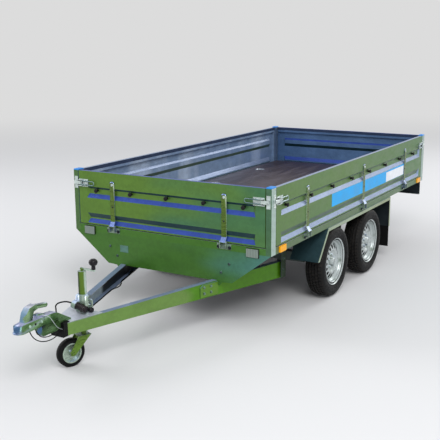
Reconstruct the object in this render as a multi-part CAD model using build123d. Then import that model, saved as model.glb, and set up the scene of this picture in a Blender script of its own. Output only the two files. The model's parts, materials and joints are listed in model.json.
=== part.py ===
from build123d import *
import os
from math import atan2, cos, degrees, hypot, radians, sin, sqrt

# Tandem-axle dropside platform trailer, in millimetres.
# +X points forward to the coupling, +Y to the left, +Z up.
# The origin is on the floor, below the middle of the whole trailer's box.

# Road wheels
tyre_radius = 273.5
tyre_width = 155.0
tread_width = 122.0
shoulder_drop = 9.5
tyre_wall = 10.0
wheel_out = 17.0
rim_seat_r = 165.0
rim_flange_r = 182.5
rim_width = 114.0
rim_sheet = 5.0
wheel_offset = 30.0
disc_hole_r = 11.0
disc_hole_pcr = 117.0
disc_hole_count = 16
hub_r = 32.0
spindle_r = 15.0
first_axle = -1086.0
axle_spacing = 742.0

# Load bed
bed_length = 3310.0
bed_width = 1642.0
half_width = bed_width / 2
tyre_clearance = 21.0
rail_height = 48.0
deck_rise = 40.0
deck_thickness = 15.0
rail_bottom = 2 * tyre_radius + tyre_clearance
rail_top = rail_bottom + rail_height
deck_top = rail_top + deck_rise
rail_sheet = 3.0
rail_flange = 60.0
cross_member_height = 60.0
cross_member_flange = 35.0
cross_member_count = 9
moving_gap = 6.0

# Lashing rings sunk in the deck
lashing_pan_r = 36.0
lashing_flange = 10.0
lashing_depth = 11.0
lashing_sheet = 2.0
lashing_bar_r = 4.0
lashing_inset = 160.0
lashing_x = (868.0, 1764.0, 2660.0)

# Drop boards
board_bottom = rail_top + moving_gap
board_height = 395.0
board_depth = 28.0
board_sheet = 2.0
board_hem = 48.0
groove_depth = 15.0
groove_end = 72.0
upper_groove = (197.0, 281.0)
upper_brow = 16.0
lower_groove = (10.0, 84.0)
lower_brow = 34.0
groove_ledge = 30.0

# Corner posts
post_width = 40.0
post_depth = 64.0
post_sheet = 3.0
cap_height = 9.0
cap_skirt = 22.0

# Hinges of the boards
hinge_z = rail_top + 9.0
hinge_out = 16.0
hinge_pin_r = 5.0
hinge_eye_r = 10.0
running_gap = 0.05
side_gap = 1.0
strap_width = 38.0
strap_thickness = 6.0
strap_top = 333.0
ear_thickness = 6.0
bracket_width = 110.0
front_strap_y = 467.0
side_strap_x = (557.0, 1659.0, 2713.0)

# Rope knobs on the boards
knob_r = 15.0
knob_out = 12.0
knob_height = 254.0
end_knob_pitch = 307.0
end_knob_count = 5
side_knob_first = 226.0
side_knob_pitch = 391.0
side_knob_count = 8

# Latches at the board ends
latch_height = 305.0
latch_plate = (84.0, 56.0, 4.0)
latch_claw = (24.0, 6.0)
latch_cheek = 4.0
latch_bar_r = 4.0
latch_grip_length = 118.0
latch_grip_half = 15.0
catch_height = 34.0
catch_sheet = 3.0

# Chassis below the bed
chassis_rail_y = half_width - 221.0
chassis_rail_height = 100.0
chassis_rail_flange = 45.0
chassis_rail_sheet = 4.0

# Drawbar
drawbar_nose = 1144.0
drawbar_nose_y = 45.0
coupling_height = 385.0
drawbar_nose_z = (coupling_height - 131.0, coupling_height - 58.0)
drawbar_tail = first_axle + tyre_radius + 184.5
drawbar_tail_y = chassis_rail_y + 11.0
drawbar_tail_z = (rail_bottom - 328.0, rail_bottom - 206.0)
drawbar_flange = 42.0
drawbar_sheet = 4.0
gusset_back = 885.0
gusset_sheet = 5.0
bracket_front = 149.0
bracket_sheet = 6.0

# Coupling
coupling_reach = 1498.0
coupling_z = coupling_height
coupling_drop = 16.0
coupling_flange = 5.0
coupling_rear = 1182.0
coupling_tail = 1062.0
coupling_hump = 1345.0
shank_front = 1310.0
shank_foot = 300.0
shank_half = 26.0
lever_half = 22.0
lever_sheet = 4.0
lever_grip_r = 15.0
ball_r = 25.0
ball_gap = 0.5
socket_wall = 8.0
sleeve_length = 52.0
sleeve_wall = 7.0
sleeve_front = 1156.0

# Axles
axle_tube = 70.0
axle_arm = 140.0
axle_drop = 45.0
axle_tube_end = chassis_rail_y + 40.0
arm_thickness = 24.0

# Jockey wheel
jockey_x = 916.0
jockey_tube_r = 25.0
jockey_slide_r = jockey_tube_r - 3.5
jockey_wall = 3.0
jockey_tube_down = 81.5
jockey_tube_up = 258.5
jockey_wheel_r = 90.0
jockey_wheel_width = 46.0
jockey_trail = 100.0
jockey_turn = -22.0
jockey_fork_sheet = 4.0
jockey_pin_length = 38.0
jockey_fork_gap = 6.0
crank_r = 7.0
crank_reach = 92.0
clamp_wall = 8.0
clamp_low = 60.5
clamp_height = 53.0
clamp_foot = 46.0
clamp_screw = 20.5
clamp_knob_r = 15.0

# Lamp lead
lead_r = 4.5
lead_gap = 0.5
lead_bend = 45.0
rise_bend = 26.0
cord_seat = 4.0
plug_r = 21.0
plug_length = 100.0
plug_fall = 13.0
plug_rise = 47.5
holder_wall = 5.0
holder_length = 28.0
safety_r = 3.0
safety_bend = 15.0
release_wire_r = 2.0
release_wire_bend = 10.0

# Mudguards and lamps
guard_front = first_axle + tyre_radius + 67.5
guard_rear = first_axle - axle_spacing - tyre_radius - 228.5
guard_outer = half_width + 10.0
guard_sheet = 2.0
guard_lip = 24.0
guard_low = tyre_radius + 71.5
guard_slant = 180.0
guard_rear_low = rail_bottom - 268.0
skirt_low = tyre_radius + 126.5
flap_low = 112.0
lamp_bar_bottom = rail_bottom - 141.0
lamp_bar_sheet = 3.0
front_lamp_y = (640.0, 729.0)
front_lamp_z = (rail_bottom - 20.0, rail_top - 11.0)
side_marker_back = (159.0, 3162.0)
side_marker_half = 46.0

rear_reach = hinge_out + hinge_eye_r
total_length = coupling_reach + bed_length + rear_reach
bed_front = total_length / 2 - coupling_reach
bed_rear = bed_front - bed_length
bed_middle = (bed_front + bed_rear) / 2
board_top = board_bottom + board_height
deck_bottom = deck_top - deck_thickness
member_bottom = deck_bottom - cross_member_height
chassis_rail_bottom = member_bottom - chassis_rail_height
lip_inset = board_depth + moving_gap
end_board_length = bed_width - 2 * (post_width + moving_gap)
side_board_length = bed_length - 2 * (post_depth + moving_gap)
wheel_mid_y = half_width + wheel_out - tyre_width / 2
disc_face_y = wheel_mid_y + wheel_offset

# Placements of the four sides of the bed: outward is local +Y, height stays world Z
SIDES = {
    "front": Location((bed_front, 0, 0), (0, 0, -90)),
    "left": Location((bed_middle, half_width, 0)),
    "right": Location((bed_middle, -half_width, 0), (0, 0, 180)),
    "rear": Location((bed_rear, 0, 0), (0, 0, 90)),
}


def block(xs, ys, zs):
    """Box between two values along each axis."""
    middle = [sum(pair) / 2 for pair in (xs, ys, zs)]
    size = [abs(pair[1] - pair[0]) for pair in (xs, ys, zs)]
    return Pos(*middle) * Box(*size)


def prism(plane, points, amount):
    """Straight prism from an outline on a plane, along the plane's normal."""
    return extrude(plane * Polygon(*points, align=None), amount, dir=plane.z_dir)


def rod(start, end, radius):
    """Round bar between two points."""
    run = Vector(*end) - Vector(*start)
    return extrude(Plane(origin=start, z_dir=run) * Circle(radius), run.length)


def fused(pieces):
    """One shape made of all the pieces."""
    whole = pieces[0]
    for piece in pieces[1:]:
        whole = whole + piece
    return whole


def both_sides(piece):
    """A left-hand piece with its right-hand twin."""
    return [piece, mirror(piece, about=Plane.XZ)]


def save(name, pieces):
    """Write one node from its pieces."""
    solids = [solid for piece in pieces for solid in piece.solids()]
    export_step(Compound(children=solids), f"parts/{name}.step")


def bed_ring(outer_inset, inner_inset, low, high):
    """Rectangular ring that follows the bed's outline."""
    outer = (bed_length - 2 * outer_inset, bed_width - 2 * outer_inset)
    inner = (bed_length - 2 * inner_inset, bed_width - 2 * inner_inset)
    ring = Rectangle(*outer) - Rectangle(*inner)
    return extrude(Pos(bed_middle, 0, low) * ring, high - low)


def post_envelopes(clearance=0.0):
    """The four corner columns that the posts fill."""
    columns = []
    for x, inward in ((bed_front, -1), (bed_rear, 1)):
        xs = (x + inward * (post_depth + clearance), x - inward)
        for side in (1, -1):
            ys = (side * (half_width - post_width - clearance), side * (half_width + 1))
            columns.append(block(xs, ys, (rail_bottom - 1, board_top + 50)))
    return columns


def cross_member(x):
    """Channel under the deck, open to the rear."""
    reach = half_width - lip_inset - rail_sheet / 2
    sheet = rail_sheet
    solid = block((x, x - cross_member_flange), (-reach, reach), (member_bottom, deck_bottom))
    inside = block(
        (x - sheet, x - cross_member_flange - 1),
        (-reach - 1, reach + 1),
        (member_bottom + sheet, deck_bottom - sheet),
    )
    return solid - inside


def platform_frame():
    """Edge rails with their deck lip, and the cross members, welded into one."""
    sheet = rail_sheet
    frame = fused([
        bed_ring(0, sheet, rail_bottom, rail_top),
        bed_ring(0, rail_flange, rail_bottom, rail_bottom + sheet),
        bed_ring(0, lip_inset + sheet, rail_top - sheet, rail_top),
        bed_ring(lip_inset, lip_inset + sheet, rail_top - sheet, deck_top + sheet),
    ])
    for column in post_envelopes():
        frame = frame - column
    first = bed_front - post_depth - 20
    last = bed_rear + post_depth + 20 + cross_member_flange
    pitch = (first - last) / (cross_member_count - 1)
    members = [cross_member(first - i * pitch) for i in range(cross_member_count)]
    return [fused([frame] + members)]


def lashing_places():
    """Centres of the lashing rings along both sides of the deck."""
    y = half_width - lashing_inset
    return [(bed_front - back, side * y) for back in lashing_x for side in (1, -1)]


def deck():
    """Plywood floor, notched round the posts and bored for the lashing rings."""
    inset = lip_inset + rail_sheet
    board = block(
        (bed_rear + inset, bed_front - inset),
        (inset - half_width, half_width - inset),
        (deck_bottom, deck_top),
    )
    for column in post_envelopes(clearance=1.0):
        board = board - column
    for x, y in lashing_places():
        board = board - rod((x, y, deck_bottom - 1), (x, y, deck_top + 1), lashing_pan_r + side_gap)
        rim_r = lashing_pan_r + lashing_flange + side_gap
        board = board - rod((x, y, deck_top - lashing_sheet), (x, y, deck_top + 1), rim_r)
    return [board]


def lashing_rings():
    """Sunk pans with a flange flush with the deck, each with a ring on a small lug."""
    sheet = lashing_sheet
    flange = Circle(lashing_pan_r + lashing_flange) - Circle(lashing_pan_r - sheet)
    dish = extrude(Pos(0, 0, -lashing_depth) * Circle(lashing_pan_r), lashing_depth)
    dish = dish - extrude(Pos(0, 0, sheet - lashing_depth) * Circle(lashing_pan_r - sheet), lashing_depth)
    ring_r = lashing_pan_r - sheet - 2 * lashing_bar_r
    ring = Pos(0, 0, -lashing_bar_r) * Torus(ring_r, lashing_bar_r)
    lug = block((-9, 9), (ring_r - 6, ring_r + 6), (sheet / 2 - lashing_depth, -1))
    pan = fused([extrude(flange, sheet), dish, ring, lug])
    return [Pos(x, y, deck_top - sheet) * pan for x, y in lashing_places()]


def corner_posts():
    """Hollow posts that stand at the corners of the bed."""
    posts = []
    for x, inward in ((bed_front, -1), (bed_rear, 1)):
        middle = x + inward * post_depth / 2
        for side in (1, -1):
            y = side * (half_width - post_width / 2)
            outline = Rectangle(post_depth, post_width)
            hollow = Rectangle(post_depth - 2 * post_sheet, post_width - 2 * post_sheet)
            tube = extrude(Pos(middle, y, rail_bottom) * (outline - hollow), board_top - rail_bottom)
            posts.append(tube)
    return posts


def post_caps():
    """Plastic caps on the posts, each with a skirt inside the tube."""
    caps = []
    for x, inward in ((bed_front, -1), (bed_rear, 1)):
        middle = x + inward * post_depth / 2
        for side in (1, -1):
            y = side * (half_width - post_width / 2)
            top = Pos(middle, y, board_top + cap_height / 2) * Box(post_depth, post_width, cap_height)
            top = chamfer(top.faces().sort_by(Axis.Z)[-1].edges(), 3)
            skirt_size = (post_depth - 2 * post_sheet, post_width - 2 * post_sheet)
            skirt = Pos(middle, y, board_top - cap_skirt / 2) * Box(*skirt_size, cap_skirt)
            caps.append(top + skirt)
    return caps


def groove(length, heights, brow, grow):
    """Trough that sinks inward from the outer face, grown outward by a sheet's thickness.

    Its brow slopes in from the top edge, its ledge from the bottom edge, and its ends at 45 degrees.
    """
    depth = groove_depth + grow
    end = length / 2 + grow * sqrt(2)
    low = heights[0] - grow * hypot(groove_ledge, groove_depth) / groove_depth
    high = heights[1] + grow * hypot(brow, groove_depth) / groove_depth
    low_floor = low + groove_ledge * depth / groove_depth
    high_floor = high - brow * depth / groove_depth
    side = Polygon((0, low), (0, high), (-depth, high_floor), (-depth, low_floor), align=None)
    plan = Polygon((-end, 0), (depth - end, -depth), (end - depth, -depth), (end, 0), align=None)
    return extrude(Plane.YZ * side, end, both=True) & extrude(Plane.XY * plan, board_top)


def drop_board(length):
    """Pressed board with hemmed edges and two long grooves; outer face at Y = 0."""
    half = length / 2
    top = board_top
    sheet = board_sheet
    bottom = board_bottom
    board = block((-half, half), (-sheet, 0), (bottom, top))
    groove_length = length - 2 * groove_end
    grooves = [(upper_groove, upper_brow), (lower_groove, lower_brow)]
    rise = Pos(0, 0, bottom)
    for heights, brow in grooves:
        board = board + rise * groove(groove_length, heights, brow, sheet)
    for heights, brow in grooves:
        board = board - rise * groove(groove_length, heights, brow, 0)
    edges = [
        block((-half, half), (-board_depth, 0), (top - sheet, top)),
        block((-half, half), (-board_depth, sheet - board_depth), (top - board_hem, top)),
        block((-half, half), (-board_depth, 0), (bottom, bottom + sheet)),
    ]
    for end in (-half, half - sheet):
        edges.append(block((end, end + sheet), (-board_depth, 0), (bottom, top)))
    return fused([board] + edges)


def hinge_strap():
    """Strap up the board's face, bent outward at its foot into an eye."""
    low = board_bottom + 38
    high = board_bottom + strap_top
    bar = block((-strap_width / 2, strap_width / 2), (0, strap_thickness), (low, high))
    bar = fillet(bar.edges().filter_by(Axis.Y).group_by(Axis.Z)[-1], strap_width / 2 - 2)
    side = [(0, low), (strap_thickness, low), (hinge_out + hinge_eye_r, hinge_z + 2), (hinge_out + 2, hinge_z)]
    foot = prism(Plane.YZ.offset(-strap_width / 2), side, strap_width)
    eye = rod((-strap_width / 2, hinge_out, hinge_z), (strap_width / 2, hinge_out, hinge_z), hinge_eye_r)
    hole = rod((-strap_width, hinge_out, hinge_z), (strap_width, hinge_out, hinge_z), hinge_pin_r + running_gap)
    return bar + foot + eye - hole


def hinge_bracket():
    """Plate on the rail's face with two ears and the hinge pin."""
    plate = block((-bracket_width / 2, bracket_width / 2), (0, 4), (rail_bottom + 8, rail_top - 2))
    inner = strap_width / 2 + side_gap
    pieces = [plate]
    for side in (1, -1):
        xs = (side * inner, side * (inner + ear_thickness))
        web = block(xs, (0, hinge_out + hinge_eye_r), (rail_top - 30, rail_top - 2))
        riser = block(xs, (hinge_out - hinge_eye_r, hinge_out + hinge_eye_r), (rail_top - 3, hinge_z))
        ear = rod((xs[0], hinge_out, hinge_z), (xs[1], hinge_out, hinge_z), hinge_eye_r)
        pieces += [web, riser, ear]
    reach = inner + ear_thickness + 3
    pieces.append(rod((-reach, hinge_out, hinge_z), (reach, hinge_out, hinge_z), hinge_pin_r))
    return fused(pieces)


def strap_places(side):
    """Local X of each hinge strap on one side of the bed."""
    if side in ("front", "rear"):
        return [-front_strap_y, front_strap_y]
    handed = 1 if side == "left" else -1
    return [handed * (bed_length / 2 - back) for back in side_strap_x]


def knob_places(side):
    """Local X of each rope knob on one side of the bed."""
    if side in ("front", "rear"):
        first = -end_knob_pitch * (end_knob_count - 1) / 2
        return [first + i * end_knob_pitch for i in range(end_knob_count)]
    handed = 1 if side == "left" else -1
    backs = [side_knob_first + i * side_knob_pitch for i in range(side_knob_count)]
    return [handed * (bed_length / 2 - back) for back in backs]


def rope_knob():
    """Mushroom knob that stands on the floor of the upper groove."""
    base = -groove_depth
    tall = groove_depth + knob_out
    outline = Polygon(
        (0, 0), (10, 0), (8, tall - 10), (knob_r, tall - 6), (knob_r, tall - 2), (knob_r - 3, tall), (0, tall),
        align=None,
    )
    turned = revolve(Plane.XY * outline, axis=Axis.Y)
    return Pos(0, base, board_bottom + knob_height) * turned


def latch_grip():
    """U-shaped bar handle that lies flat, from the pin towards the board's middle."""
    half = latch_grip_half
    run = latch_grip_length - half
    path = Line((0, half), (-run, half))
    path += ThreePointArc((-run, half), (-run - half, 0), (-run, -half))
    path += Line((-run, -half), (0, -half))
    face = Plane(origin=(0, 0, 0), x_dir=(1, 0, 0), z_dir=(0, -1, 0))
    start = Plane(origin=(0, 0, half), z_dir=(-1, 0, 0))
    bar = sweep(start * Circle(latch_bar_r), path=face * Wire(path.edges()))
    pin = rod((0, 0, -latch_plate[1] / 2 + 3), (0, 0, latch_plate[1] / 2 - 3), latch_bar_r)
    return bar + pin


def board_latch(length, end):
    """Latch at a board's end: plate, two cheeks, bar handle and a claw over the post."""
    wide, tall, thick = latch_plate
    z = board_bottom + latch_height
    edge = length / 2 - 4
    pin_out = thick + moving_gap + latch_claw[1] / 2
    pieces = [block((edge - wide, edge), (0, thick), (-tall / 2, tall / 2))]
    for side in (1, -1):
        zs = (side * (tall / 2 - 5 - latch_cheek), side * (tall / 2 - 5))
        cheek = block((edge - 38, edge - 2), (thick - 1, pin_out + 7), zs)
        pieces.append(chamfer(cheek.edges().filter_by(Axis.Z).group_by(Axis.Y)[-1], 6))
    pieces.append(Pos(edge - 26, pin_out, 0) * latch_grip())
    claw_tall, claw_thick = latch_claw
    low = thick + moving_gap
    claw = block((edge - 32, length / 2 + moving_gap + 27), (low, low + claw_thick), (-claw_tall / 2, claw_tall / 2))
    pieces.append(fillet(claw.edges().filter_by(Axis.Y), 5))
    latch = Pos(0, 0, z) * fused(pieces)
    return latch if end > 0 else mirror(latch, about=Plane.YZ)


def latch_catch(length, end):
    """Low catch on the post below the latch claw."""
    z = board_bottom + latch_height
    near = end * (length / 2 + moving_gap + 6)
    far = end * (length / 2 + moving_gap + 28)
    return block((near, far), (0, catch_sheet), (z - catch_height / 2, z + catch_height / 2))


def boards():
    """The four drop boards with their straps, latches and knobs."""
    names = {"front": "front_board", "left": "left_board", "right": "right_board", "rear": "tailboard"}
    for side, name in names.items():
        place = SIDES[side]
        length = end_board_length if side in ("front", "rear") else side_board_length
        save(name, [place * drop_board(length)])
        fittings = [place * Pos(x, 0, 0) * hinge_strap() for x in strap_places(side)]
        fittings += [place * board_latch(length, end) for end in (-1, 1)]
        save(name + "_fittings", fittings)
        save(name + "_knobs", [place * Pos(x, 0, 0) * rope_knob() for x in knob_places(side)])


def hinge_brackets():
    """All brackets on the rails."""
    brackets = []
    for side, place in SIDES.items():
        brackets += [place * Pos(x, 0, 0) * hinge_bracket() for x in strap_places(side)]
    return brackets


def latch_catches():
    """All catches on the posts."""
    catches = []
    for side, place in SIDES.items():
        length = end_board_length if side in ("front", "rear") else side_board_length
        catches += [place * latch_catch(length, end) for end in (-1, 1)]
    return catches


def channel(xs, outer_y, inward, zs, flange, sheet):
    """Channel along X, its web on the outer side."""
    inner_y = outer_y - inward * flange
    solid = block(xs, (outer_y, inner_y), zs)
    hollow = block(
        (xs[0] - 1, xs[1] + 1),
        (outer_y - inward * sheet, inner_y - inward),
        (zs[0] + sheet, zs[1] - sheet),
    )
    return solid - hollow


def chassis_rail():
    """Left long member with the hanger for the drawbar's tail."""
    inset = rail_flange + moving_gap
    xs = (bed_rear + inset, bed_front - inset)
    zs = (chassis_rail_bottom, member_bottom)
    rail = channel(xs, chassis_rail_y, 1, zs, chassis_rail_flange, chassis_rail_sheet)
    tail = bed_front + drawbar_tail
    low = drawbar_tail_z[0]
    plate = block((tail - 5, tail), (drawbar_tail_y - 60, drawbar_tail_y + 5), (low, chassis_rail_bottom))
    wing = block((tail - 15, tail + 56), (drawbar_tail_y, drawbar_tail_y + 5), (low, chassis_rail_bottom))
    foot = block(
        (tail - 15, tail + 56),
        (chassis_rail_y - chassis_rail_flange, drawbar_tail_y + 5),
        (chassis_rail_bottom - 5, chassis_rail_bottom),
    )
    return rail + plate + wing + foot


def beam_web():
    """Plane of the left beam's outer face: x runs forward along it and z points inward."""
    tail = Vector(bed_front + drawbar_tail, drawbar_tail_y, 0)
    nose = Vector(bed_front + drawbar_nose, drawbar_nose_y, 0)
    along = (nose - tail).normalized()
    return Plane(origin=tail, x_dir=along, z_dir=along.cross(Vector(0, 0, 1)))


def beam_stretch():
    """Length of a beam for each millimetre along the trailer."""
    return hypot(drawbar_nose - drawbar_tail, drawbar_tail_y - drawbar_nose_y) / (drawbar_nose - drawbar_tail)


def drawbar_beam():
    """Left drawbar beam: a tapered channel with its web outside."""
    length = (drawbar_nose - drawbar_tail) * beam_stretch()
    (low_a, high_a), (low_b, high_b) = drawbar_tail_z, drawbar_nose_z
    spare = drawbar_flange / 2
    start, end = -spare, length + spare
    outline = [(start, low_a), (end, low_b), (end, high_b), (start, high_a)]
    sheet = drawbar_sheet
    hollow = [
        (start - 1, low_a + sheet), (end + 1, low_b + sheet), (end + 1, high_b - sheet), (start - 1, high_a - sheet),
    ]
    web = beam_web()
    bar = prism(web, outline, drawbar_flange) - prism(web.offset(sheet), hollow, drawbar_flange)
    xs = (bed_front + drawbar_tail, bed_front + drawbar_nose)
    return bar & block(xs, (0, half_width), (0, rail_bottom))


def drawbar_share(x):
    """How far along the drawbar x lies, measured from the bed's front face."""
    return (x - drawbar_tail) / (drawbar_nose - drawbar_tail)


def drawbar_top(x):
    """Height of the drawbar's top at x, measured from the bed's front face."""
    return drawbar_tail_z[1] + drawbar_share(x) * (drawbar_nose_z[1] - drawbar_tail_z[1])


def drawbar_low(x):
    """Height of the drawbar's underside at x, measured from the bed's front face."""
    return drawbar_tail_z[0] + drawbar_share(x) * (drawbar_nose_z[0] - drawbar_tail_z[0])


def drawbar_outer(x):
    """Half width over the drawbar at x, measured from the bed's front face."""
    return drawbar_tail_y + drawbar_share(x) * (drawbar_nose_y - drawbar_tail_y)


def gusset():
    """Plate on top of the beams behind the coupling, with a hole for the jockey tube."""
    outline = Polygon(
        (bed_front + drawbar_nose, drawbar_outer(drawbar_nose)),
        (bed_front + gusset_back, drawbar_outer(gusset_back)),
        (bed_front + gusset_back, -drawbar_outer(gusset_back)),
        (bed_front + drawbar_nose, -drawbar_outer(drawbar_nose)),
        align=None,
    )
    front = Vector(bed_front + drawbar_nose, 0, drawbar_top(drawbar_nose))
    back = Vector(bed_front + gusset_back, 0, drawbar_top(gusset_back))
    slope = degrees(atan2(back.Z - front.Z, front.X - back.X))
    plate = extrude(outline, gusset_sheet)
    plate = Pos(front.X, 0, front.Z) * Rot(0, slope, 0) * Pos(-front.X, 0, 0) * plate
    plate = plate - rod((bed_front + jockey_x, 0, 0), (bed_front + jockey_x, 0, 900), jockey_tube_r)
    for beam in both_sides(drawbar_beam()):
        plate = plate - beam
    return plate


def beam_bracket():
    """Plate on the left beam's outer face, welded to the apron's front."""
    scale = beam_stretch()
    start = -(drawbar_tail + rail_sheet) * scale
    end = (bracket_front - drawbar_tail) * scale
    low, high = drawbar_low(0) + 9, drawbar_top(0) - 8
    outline = [(start, low), (end, low), (end, high - 18), (end - 26, high), (start, high)]
    return prism(beam_web().offset(-bracket_sheet), outline, bracket_sheet)


def apron():
    """Skirt below the bed's front edge, cut away round the beams, with a bracket to each beam."""
    x = bed_front
    wide = half_width - 2
    low = drawbar_top(0) - 6
    outer = drawbar_outer(0)
    foot = outer + 115
    tab = outer + 20
    half = [(wide, rail_bottom), (foot, low), (tab + 18, low - 4), (tab, low - 28), (outer - 40, low - 28), (outer - 52, low)]
    outline = half + [(-y, z) for y, z in reversed(half)]
    face = Plane(origin=(x - rail_sheet, 0, 0), x_dir=(0, 1, 0), z_dir=(1, 0, 0))
    plate = prism(face, outline, rail_sheet)
    for side in (1, -1):
        ys = (side * (outer - drawbar_flange * 1.1 - 1), side * (outer + 1))
        plate = plate - block((x - 9, x + 9), ys, (0, drawbar_top(0) + 1))
    return [fused([plate] + both_sides(beam_bracket()))]


def sleeve_block():
    """Outer shape of the sleeve."""
    low, high = drawbar_nose_z
    front = bed_front + sleeve_front
    reach = drawbar_nose_y + sleeve_wall
    shape = block((front - sleeve_length, front), (-reach, reach), (low - sleeve_wall, high + sleeve_wall + 4))
    return fillet(shape.edges().filter_by(Axis.X), 8)


def nose_sleeve():
    """Black rubber sleeve round the noses of the beams."""
    sleeve = sleeve_block()
    for piece in both_sides(drawbar_beam()) + [gusset()]:
        sleeve = sleeve - piece
    return [sleeve]


def coupling_profile(points, half):
    """Prism from an outline in the middle plane, as wide as twice the half width."""
    face = Plane(origin=(bed_front, half, coupling_z), x_dir=(1, 0, 0), z_dir=(0, -1, 0))
    return prism(face, points, 2 * half)


def head_plan(grow):
    """The head from above: round in front, narrower at the rear."""
    shell_r = ball_r + ball_gap + socket_wall
    x = coupling_reach - coupling_flange - shell_r
    wide = shell_r + grow
    narrow = shank_half + grow
    sides = [(x, wide), (coupling_rear, narrow), (coupling_rear, -narrow), (x, -wide)]
    return Pos(x, 0) * Circle(wide) + Polygon(*sides, align=None)


def coupling_head():
    """Pressed ball coupling on a box shank, with a tail that lies on the gusset."""
    low = -coupling_drop
    reach = coupling_reach
    shell = extrude(Pos(bed_front, 0, coupling_z + low) * head_plan(0), 90)
    crown = [
        (reach + 1, low), (reach + 1, -3), (reach - 8, 18), (reach - 25, 27), (reach - 52, 36),
        (reach - 85, 38), (coupling_rear - 1, 27), (coupling_rear - 1, low),
    ]
    shell = shell & coupling_profile(crown, 50)
    section = [(-50, low), (-50, 10), (-35, 24), (-20, 39), (20, 39), (35, 24), (50, 10), (50, low)]
    face = Plane(origin=(bed_front + coupling_tail, 0, coupling_z), x_dir=(0, 1, 0), z_dir=(1, 0, 0))
    shell = shell & prism(face, section, coupling_reach - coupling_tail + 9)
    flange = extrude(Pos(bed_front, 0, coupling_z + low) * head_plan(coupling_flange), coupling_flange)
    hump = coupling_hump
    cover = [(hump, 20), (hump - 12, 50), (hump - 42, 53), (hump - 75, 43), (hump - 105, 20)]
    shank_low = shank_foot - coupling_z
    shank = [(sleeve_front, shank_low), (shank_front - 12, shank_low), (shank_front, shank_low + 20)]
    shank += [(shank_front, low + 1), (sleeve_front, low + 1)]
    tail = [
        (coupling_rear, 27), (coupling_tail, drawbar_top(coupling_tail) + 12 - coupling_z),
        (coupling_tail, drawbar_top(coupling_tail) + gusset_sheet - 1 - coupling_z),
        (sleeve_front, drawbar_top(sleeve_front) + gusset_sheet - 1 - coupling_z), (coupling_rear, low),
    ]
    head = fused([
        shell, flange, coupling_profile(cover, 18), coupling_profile(shank, shank_half),
        coupling_profile(tail, shank_half),
    ])
    ball_x = bed_front + reach - coupling_flange - ball_r - ball_gap - socket_wall
    socket = Pos(ball_x, 0, coupling_z) * Sphere(ball_r + ball_gap)
    throat = rod((ball_x, 0, coupling_z - 40), (ball_x, 0, coupling_z), ball_r + ball_gap)
    return [head - socket - throat - sleeve_block() - gusset()]


def coupling_lever():
    """Release lever: a pressed arm over the head that ends in a round grip."""
    reach = coupling_reach
    side = [
        (reach - 60, 30), (reach - 78, 85), (reach - 104, 112), (reach - 153, 121),
        (reach - 168, 92), (reach - 136, 84), (reach - 118, 30),
    ]
    hollow = [
        (reach - 66, 28), (reach - 84, 84), (reach - 107, 107), (reach - 150, 116),
        (reach - 178, 88), (reach - 178, 28),
    ]
    arm = coupling_profile(side, lever_half) - coupling_profile(hollow, lever_half - lever_sheet)
    inner = Vector(bed_front + reach - 148, 0, coupling_z + 105)
    outer = Vector(bed_front + reach - 250, 0, coupling_z + 89)
    grip = rod(inner, outer, lever_grip_r) + Pos(*outer) * Sphere(lever_grip_r)
    return [arm + grip - coupling_head()[0]]


def axle(x):
    """Rubber torsion axle with trailing arms, spindles and seats for the chassis rails."""
    z = tyre_radius
    tube_x = x + axle_arm
    tube_z = z + axle_drop
    half = axle_tube / 2
    tube = block((tube_x - half, tube_x + half), (-axle_tube_end, axle_tube_end), (tube_z - half, tube_z + half))
    pieces = [tube]
    seat = block(
        (tube_x - 60, tube_x + 60),
        (chassis_rail_y - chassis_rail_flange, chassis_rail_y),
        (tube_z, chassis_rail_bottom),
    )
    pieces += both_sides(seat)
    arm_plane = Plane(origin=(0, axle_tube_end, 0), x_dir=(1, 0, 0), z_dir=(0, -1, 0))
    run = hypot(axle_arm, axle_drop)
    tilt = degrees(atan2(axle_drop, axle_arm))
    slot = Pos(x + axle_arm / 2, z + axle_drop / 2) * Rot(0, 0, tilt) * SlotCenterToCenter(run, 64)
    pieces += both_sides(extrude(arm_plane * slot, -arm_thickness))
    spindle = rod((x, axle_tube_end, z), (x, disc_face_y - 20, z), spindle_r)
    pieces += both_sides(spindle)
    return [fused(pieces)]


def rim_half_profile():
    """Outer line of the rim's section, as (width, radius), from outside to inside."""
    half = rim_width / 2
    return [
        (half + 9, rim_flange_r), (half, rim_flange_r - 3), (half, rim_seat_r), (half - 22, rim_seat_r - 2),
        (half - 32, rim_seat_r - 18), (-half + 42, rim_seat_r - 18), (-half + 26, rim_seat_r - 2),
        (-half, rim_seat_r), (-half, rim_flange_r - 3), (-half - 9, rim_flange_r),
    ]


def wheel_rim():
    """Steel rim and disc with the hub, turned about the Y axis; outside is +Y."""
    outside = rim_half_profile()
    inside = [(w, r - rim_sheet) for w, r in reversed(outside)]
    barrel = revolve(Plane.YX * Polygon(*(outside + inside), align=None), axis=Axis.Y)
    well = rim_seat_r - 18 - rim_sheet
    face = wheel_offset
    disc_line = [
        (face, 0), (face, 72), (face + 10, 84), (face + 12, 100), (face - 2, 134), (face - 22, well + 1),
    ]
    back_line = [(w - rim_sheet, r) for w, r in reversed(disc_line)]
    disc = revolve(Plane.YX * Polygon(*(disc_line + back_line), align=None), axis=Axis.Y)
    for i in range(disc_hole_count):
        angle = radians(360 / disc_hole_count * i)
        x, z = disc_hole_pcr * cos(angle), disc_hole_pcr * sin(angle)
        disc = disc - rod((x, face - 60, z), (x, face + 60, z), disc_hole_r)
    hub = rod((0, face - 100, 0), (0, face - rim_sheet, 0), hub_r)
    flange = rod((0, face - rim_sheet - 12, 0), (0, face - rim_sheet, 0), 64)
    cap = rod((0, face, 0), (0, face + 22, 0), 27)
    bore = rod((0, face - 101, 0), (0, face - 15, 0), spindle_r + running_gap)
    return barrel + disc + hub + flange + cap - bore


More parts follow.
